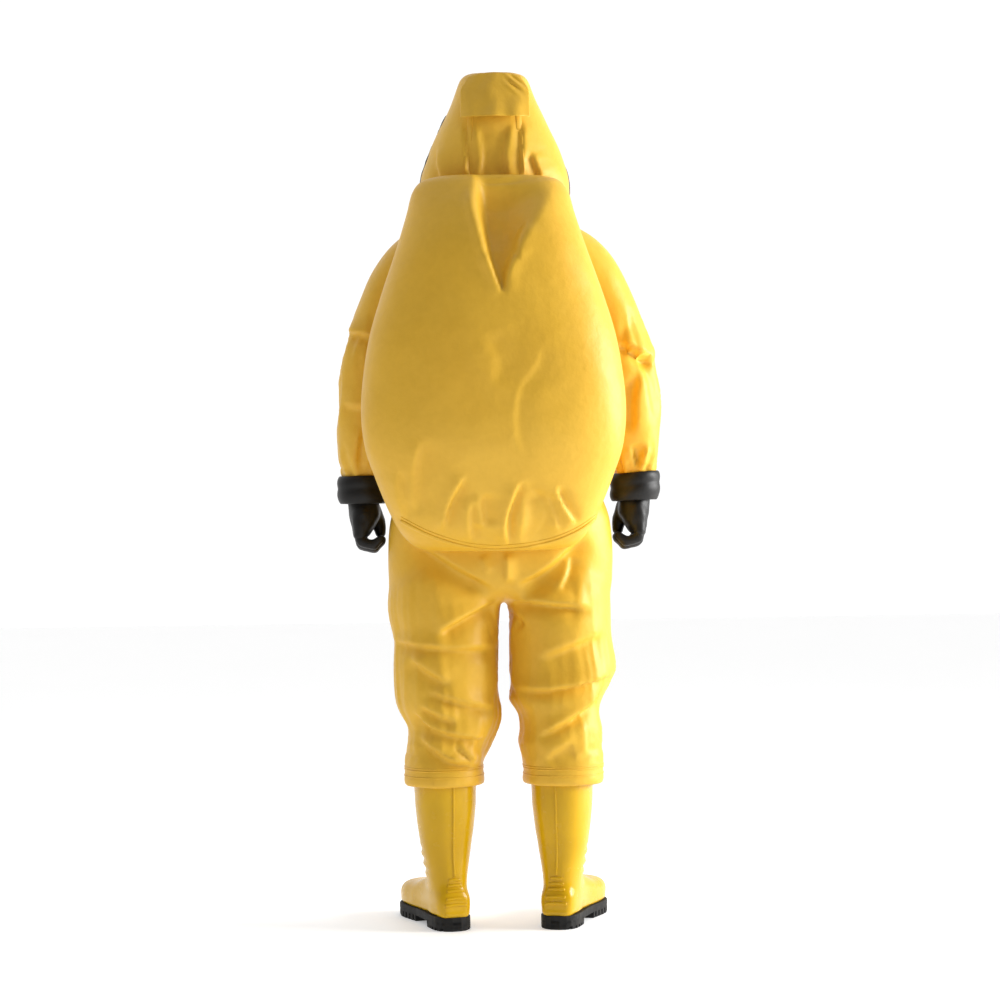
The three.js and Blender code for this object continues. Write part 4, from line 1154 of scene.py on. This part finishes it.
def sole_slab(y0, y1, low, high, inset, drop=0.0):
    """A slab of the sole between two places along it, chamfered below; drop lifts its front's underside."""
    ys = list(np.linspace(y0, y1, max(3, int(abs(y1 - y0) / 0.006))))
    ring = [(sole_half(y), y) for y in ys] + [(-sole_half(y), y) for y in reversed(ys)]
    verts = []
    for shrink, z in ((inset, low), (0.0, low + inset), (0.0, high - 0.0012), (0.0014, high)):
        for x, y in ring:
            half = max(abs(x), 1e-5)
            rise = drop * smoothstep(-0.17, -0.24, y) if z < high - 0.002 else 0.0
            verts.append((x * max(half - shrink, 0.001) / half, y, z + rise))
    count = len(ring)
    faces = [tuple(range(count)), tuple(reversed(range(3 * count, 4 * count)))]
    for k in range(3):
        for i in range(count):
            j = (i + 1) % count
            faces.append((k * count + i, (k + 1) * count + i, (k + 1) * count + j, k * count + j))
    return np.array(verts), faces


def make_boot(side, sign):
    """A moulded boot with ribs up its back and over its heel, and a cleated sole."""
    shaft = loft(SHAFT_LINE, 64, 6)
    stations = []
    for y, half, high in FOOT_LINE:
        middle = (high + FOOT_LOW) / 2
        tall = (high - FOOT_LOW) / 2
        stations.append((0, middle, -y, half, tall, tall, 2.6, 0))
    foot_points, foot_faces = loft(stations, 64, 6)
    foot = np.stack([foot_points[:, 0], -foot_points[:, 2], foot_points[:, 1]], 1), foot_faces
    upper = remeshed(new_object(f"{side}_boot_pvc", *together([shaft, foot])), 0.0042)
    mesh = upper.data
    places = places_of(mesh)
    instep = smoothstep(0.070, 0.095, places[:, 2]) * smoothstep(0.20, 0.15, places[:, 2])
    places = relaxed(places, edges_of(mesh), 0.15 + 0.7 * instep, 14)
    set_places(mesh, places)
    normals = places_of(mesh, "normal")
    x, y, z = places.T
    cap = -0.168 - 0.012 * (x / 0.05) ** 2
    toe_edge = np.exp(-(((y - cap) / 0.004) ** 2)) * smoothstep(0.045, 0.06, z) * -0.0012
    ankle = smoothstep(0.02, -0.03, y) * smoothstep(0.10, 0.13, z) * smoothstep(0.20, 0.16, z)
    creases = ankle * 0.0022 * np.sin(z * 260 + 3 * x / 0.05)
    welt = np.exp(-(((z - 0.036) / 0.004) ** 2)) * 0.0016
    places = places + normals * (toe_edge + creases + welt + rumple(places, 0.05, 4) * 0.0010)[:, None]
    below = places[:, 2] < SOLE_TOP
    places[below, 2] = SOLE_TOP - 0.001
    tree = BVHTree.FromPolygons(places.tolist(), faces_of(mesh))
    set_places(mesh, turned_out(places, sign))
    if sign < 0:
        mesh.flip_normals()
    dressed(upper, "boot_pvc", f"{side}_boot", f"{side}_boot_upper")

    details = []
    heights = np.linspace(0.345, 0.118, 40)
    bow = [0.004 * math.sin((z - 0.12) * 9) for z in heights]
    details.append(band(*cast(tree, [(x, 0.4, z) for x, z in zip(bow, heights)], (0, -1, 0)), 0.0050, 0.0022))
    for number, z in enumerate((0.110, 0.098, 0.086, 0.070, 0.056)):
        reach = 0.013 + 0.003 * number
        spots = [(x, 0.4, z + 0.002 * math.cos(x / reach * 1.5)) for x in np.linspace(-reach, reach, 15)]
        details.append(band(*cast(tree, spots, (0, -1, 0)), 0.0062, 0.0026))
    seams_points, seams_faces = together(details)
    finished(f"{side}_boot_ribs", (turned_out(seams_points, sign), seams_faces), "boot_pvc", f"{side}_boot")

    slabs = [sole_slab(0.0735, -0.2385, 0.0125, SOLE_TOP, 0.002, 0.010)]
    slabs.append(sole_slab(0.0735, -0.014, 0.0062, 0.020, 0.001))
    slabs += [sole_slab(a, b, 0.0, 0.010, 0.0012) for a, b in zip(LUG_EDGES[::2], LUG_EDGES[1::2])]
    slabs += [sole_slab(a, b, 0.0002, 0.016, 0.0012, 0.012)
              for a, b in zip(FORE_LUG_EDGES[::2], FORE_LUG_EDGES[1::2])]
    points, faces = together(slabs)
    finished(f"{side}_lugged_sole", (turned_out(points, sign), faces), "sole_rubber", f"{side}_boot",
             f"{side}_boot_outsole", hard=True)


# ---- Seams on the trunk and legs -----------------------------------------------------------------------
def make_seams(pieces, housing):
    """Stitching round both hems, and the raised seam with a stitch line round the housing's base."""
    for side, sign in SIDES.items():
        tree = surface_of(pieces[f"{side}_shin_cloth"])
        rings = []
        for z in (0.3560, 0.3510, 0.3370):
            path, ups = cast_ring(tree, (0.130 * sign, 0.026 + WEARER_Y), z)
            rings.append(band(path, ups, 0.0030, 0.0012, closed=True))
        finished(f"{side}_hem_stitching", together(rings), "coated_fabric", f"{side}_shin")
    tree = surface_of(housing)
    strips = []
    base = through([(0.216, 0.900), (0.150, 0.866), (0.073, 0.842), (-0.004, 0.836), (-0.092, 0.846),
                    (-0.158, 0.870), (-0.205, 0.900)], 12)
    strips.append(band(*cast(tree, [(x, 0.8, z) for x, z in base], (0, -1, 0)), 0.010, 0.0028))
    strips.append(band(*cast(tree, [(x, 0.8, z + 0.009) for x, z in base], (0, -1, 0)), 0.0022, 0.0012))
    finished("housing_base_seam", together(strips), "coated_fabric", "torso")


# ---- Materials -----------------------------------------------------------------------------------------
class Look:
    """A procedural material: one shader and the nodes that feed it."""

    def __init__(self, name, **settings):
        self.material = bpy.data.materials.new(name)
        self.material.use_nodes = True
        self.tree = self.material.node_tree
        self.shader = self.tree.nodes["Principled BSDF"]
        for key, value in settings.items():
            self.shader.inputs[key.replace("_", " ")].default_value = value
        self.spots = self.tree.nodes.new("ShaderNodeTexCoord").outputs["Object"]

    def node(self, kind, inputs=None, **settings):
        node = self.tree.nodes.new(kind)
        for key, value in settings.items():
            setattr(node, key, value)
        for key, value in (inputs or {}).items():
            if isinstance(value, bpy.types.NodeSocket):
                self.tree.links.new(value, node.inputs[key])
            else:
                node.inputs[key].default_value = value
        return node

    def noise(self, scale, detail=3.0, roughness=0.5, stretch=(1, 1, 1)):
        spots = self.node("ShaderNodeMapping", {"Vector": self.spots, "Scale": stretch}).outputs["Vector"]
        inputs = {"Vector": spots, "Scale": scale, "Detail": detail, "Roughness": roughness}
        return self.node("ShaderNodeTexNoise", inputs).outputs["Fac"]

    def waves(self, scale, direction, distortion=0.0):
        inputs = {"Vector": self.spots, "Scale": scale, "Distortion": distortion}
        return self.node("ShaderNodeTexWave", inputs, bands_direction=direction).outputs["Fac"]

    def facets(self, scale):
        inputs = {"Vector": self.spots, "Scale": scale, "Smoothness": 0.35}
        node = self.node("ShaderNodeTexVoronoi", inputs, feature="SMOOTH_F1")
        return node.outputs["Distance"]

    def math(self, operation, a, b):
        return self.node("ShaderNodeMath", {0: a, 1: b}, operation=operation).outputs["Value"]

    def ramp(self, value, stops):
        node = self.node("ShaderNodeValToRGB", {"Fac": value})
        band = node.color_ramp.elements
        while len(band) < len(stops):
            band.new(0.5)
        for element, (place, color) in zip(band, stops):
            element.position = place
            element.color = color if len(color) == 4 else (*color, 1)
        return node.outputs["Color"]

    def range(self, value, low, high):
        node = self.node("ShaderNodeMapRange", {"Value": value, "To Min": low, "To Max": high})
        return node.outputs["Result"]

    def feed(self, name, value):
        self.tree.links.new(value, self.shader.inputs[name])

    def mottled(self, value, dark, pale):
        """The base colour, between two (place, colour) stops of a value."""
        self.feed("Base Color", self.ramp(value, [dark, pale]))

    def bumps(self, layers):
        """Bump layers as (height, strength, distance), the last one nearest the shader."""
        normal = None
        for height, strength, distance in layers:
            inputs = {"Height": height, "Strength": strength, "Distance": distance}
            if normal is not None:
                inputs["Normal"] = normal
            normal = self.node("ShaderNodeBump", inputs).outputs["Normal"]
        self.feed("Normal", normal)


def coated_fabric():
    """Woven cloth under a thick yellow coating: satin, faintly mottled, crinkled by handling."""
    look = Look("coated_fabric", Specular_IOR_Level=0.32)
    mottle = look.math("ADD", look.noise(5, 4), look.math("MULTIPLY", look.noise(70, 2), 0.35))
    look.mottled(mottle, (0.35, (0.72, 0.405, 0.028)), (0.95, (0.83, 0.490, 0.045)))
    look.feed("Roughness", look.range(look.noise(26, 3), 0.36, 0.52))
    weave = look.math("ADD", look.waves(620, "DIAGONAL"), look.waves(700, "Z"))
    crinkle = look.noise(15, 4, 0.55)
    look.bumps([(crinkle, 0.35, 0.008), (look.facets(16), 0.16, 0.006), (weave, 0.10, 0.0003)])
    return look.material


def glossy_pvc():
    """Moulded boot PVC: glossy, smooth, scuffed, faintly mottled all over."""
    look = Look("boot_pvc", Coat_Weight=0.14, Coat_Roughness=0.10, Specular_IOR_Level=0.22)
    look.mottled(look.noise(9, 4), (0.3, (0.62, 0.355, 0.003)), (0.8, (0.74, 0.44, 0.006)))
    look.feed("Roughness", look.range(look.noise(40, 4), 0.16, 0.34))
    look.bumps([(look.noise(22, 3), 0.12, 0.004), (look.noise(500, 2), 0.06, 0.0003)])
    return look.material


def black_rubber():
    """Moulded glove rubber: dark, satin, with a fine grain and pale dusty wear."""
    look = Look("black_rubber", Specular_IOR_Level=0.28)
    dust = look.noise(30, 5, 0.6)
    look.mottled(dust, (0.35, (0.006, 0.0055, 0.005)), (0.85, (0.016, 0.015, 0.013)))
    look.feed("Roughness", look.range(look.noise(60, 3), 0.34, 0.55))
    look.bumps([(look.noise(160, 3), 0.25, 0.0006), (look.noise(900, 2), 0.2, 0.0002)])
    return look.material


def sole_rubber():
    """Outsole rubber: near black, matt and dusty."""
    look = Look("sole_rubber", Specular_IOR_Level=0.25)
    look.mottled(look.noise(45, 5, 0.6), (0.3, (0.006, 0.006, 0.006)), (0.85, (0.022, 0.021, 0.020)))
    look.feed("Roughness", look.range(look.noise(80, 3), 0.5, 0.8))
    look.bumps([(look.noise(300, 4), 0.3, 0.0006)])
    return look.material


def black_plastic():
    """Moulded plastic of the valves, buckle and rings: dark grey with a fine grain."""
    look = Look("black_plastic", Specular_IOR_Level=0.5)
    look.mottled(look.noise(50, 4), (0.3, (0.014, 0.015, 0.016)), (0.8, (0.026, 0.027, 0.028)))
    look.feed("Roughness", look.range(look.noise(90, 3), 0.28, 0.42))
    look.bumps([(look.noise(1100, 2), 0.15, 0.0002)])
    return look.material


def visor_film():
    """Clear, slightly smoky film with faint scratches."""
    look = Look("visor_film", Transmission_Weight=0.9, IOR=1.35, Specular_IOR_Level=0.5)
    look.mottled(look.noise(6, 2), (0.3, (0.80, 0.86, 0.87)), (0.8, (0.86, 0.91, 0.92)))
    look.feed("Roughness", look.range(look.noise(180, 5, 0.7, (1, 1, 0.1)), 0.03, 0.10))
    look.bumps([(look.noise(4, 2), 0.1, 0.004)])
    return look.material


def brass():
    """Zip metal: worn brass."""
    look = Look("zip_brass", Metallic=1.0)
    look.mottled(look.noise(120, 4), (0.3, (0.42, 0.30, 0.11)), (0.8, (0.62, 0.47, 0.20)))
    look.feed("Roughness", look.range(look.noise(200, 3), 0.25, 0.45))
    look.bumps([(look.noise(700, 3), 0.2, 0.0002)])
    return look.material


def webbing():
    """Belt webbing: dark, coarse and ribbed."""
    look = Look("belt_webbing", Specular_IOR_Level=0.3, Roughness=0.85)
    look.mottled(look.noise(60, 3), (0.3, (0.018, 0.020, 0.026)), (0.8, (0.036, 0.040, 0.050)))
    ribs = look.math("ADD", look.waves(420, "Z"), look.waves(300, "DIAGONAL"))
    look.bumps([(ribs, 0.5, 0.0008)])
    return look.material


def zip_tape_cloth():
    """Woven zip tape, a shade deeper than the suit."""
    look = Look("zip_tape", Roughness=0.8, Specular_IOR_Level=0.3)
    look.mottled(look.noise(50, 3), (0.3, (0.52, 0.29, 0.030)), (0.8, (0.62, 0.37, 0.045)))
    ribs = look.math("ADD", look.waves(520, "Z"), look.waves(520, "X"))
    look.bumps([(ribs, 0.45, 0.0005)])
    return look.material


def steel():
    """Bare brushed steel of the toe caps."""
    look = Look("toe_steel", Metallic=1.0)
    look.mottled(look.noise(40, 3), (0.3, (0.34, 0.35, 0.36)), (0.8, (0.46, 0.47, 0.48)))
    look.feed("Roughness", look.range(look.noise(150, 3, 0.5, (1, 1, 0.1)), 0.3, 0.5))
    look.bumps([(look.noise(400, 2), 0.1, 0.0002)])
    return look.material


def pale_floor():
    """A plain pale floor that glows a little."""
    look = Look("floor", Roughness=0.6, Specular_IOR_Level=0.2)
    look.mottled(look.noise(2, 3), (0.3, (0.86, 0.86, 0.86)), (0.8, (0.88, 0.88, 0.88)))
    look.shader.inputs["Emission Color"].default_value = (1, 1, 1, 1)
    look.shader.inputs["Emission Strength"].default_value = 0.30
    return look.material


LOOKS = {
    "coated_fabric": coated_fabric(),
    "boot_pvc": glossy_pvc(),
    "black_rubber": black_rubber(),
    "sole_rubber": sole_rubber(),
    "black_plastic": black_plastic(),
    "visor_film": visor_film(),
    "zip_metal": brass(),
    "belt_webbing": webbing(),
    "zip_tape": zip_tape_cloth(),
    "toe_steel": steel(),
}


def repaint_cad_nodes():
    """Every CAD node that still shows gets its slot's procedural material."""
    for part in frame["record"]["subparts"]:
        node = frame["nodes"][part["node"]]
        for place in node.material_slots:
            place.material = LOOKS[part["material_slot"]]


# ---- Studio --------------------------------------------------------------------------------------------
def area_light(name, place, aim, size, energy):
    data = bpy.data.lights.new(name, "AREA")
    data.size = size
    data.energy = energy
    light = bpy.data.objects.new(name, data)
    bpy.context.scene.collection.objects.link(light)
    light.location = place
    light.rotation_euler = (Vector(aim) - Vector(place)).to_track_quat("-Z", "Y").to_euler()


def make_studio():
    """A pale floor, a world that is brighter on one side, and two soft lights from the suit's right."""
    scene = bpy.context.scene
    scene.view_settings.view_transform = "Standard"
    floor = new_object("floor", [(-14, -14, 0), (14, -14, 0), (14, 14, 0), (-14, 14, 0)], [(0, 1, 2, 3)])
    floor.data.materials.append(pale_floor())
    world = bpy.data.worlds.new("studio")
    world.use_nodes = True
    tree = world.node_tree
    direction = tree.nodes.new("ShaderNodeTexCoord").outputs["Generated"]
    parts = tree.nodes.new("ShaderNodeSeparateXYZ")
    tree.links.new(direction, parts.inputs["Vector"])
    strength = tree.nodes.new("ShaderNodeMapRange")
    strength.interpolation_type = "SMOOTHSTEP"
    for name, value in (("From Min", 0.75), ("From Max", -0.45), ("To Min", 0.26), ("To Max", 1.06)):
        strength.inputs[name].default_value = value
    tree.links.new(parts.outputs["Y"], strength.inputs["Value"])
    tree.links.new(strength.outputs["Result"], tree.nodes["Background"].inputs["Strength"])
    tree.nodes["Background"].inputs["Color"].default_value = (1, 1, 1, 1)
    scene.world = world
    area_light("key", (-4.2, 0.55, 1.9), (0, 0, 1.0), 1.6, 180)
    area_light("rim", (-3.2, -0.6, 1.2), (0, 0, 1.0), 1.6, 60)


# ---- Making --------------------------------------------------------------------------------------------
repaint_cad_nodes()
cloth_pieces = split_garment(make_garment())
back_housing = make_housing()
make_hood_flap()
make_exhaust_valves()
make_hood_seams(surface_of(cloth_pieces["hood_cloth"]))
make_visor()
front_surface = surface_of(cloth_pieces["torso_shell"], cloth_pieces["neck_cloth"])
make_zip(front_surface)
make_zip_cover(front_surface)
make_seams(cloth_pieces, back_housing)
for side_name, side_sign in SIDES.items():
    make_glove(side_name, side_sign)
    make_glove_cuff(side_name, side_sign)
    make_boot(side_name, side_sign)
make_studio()
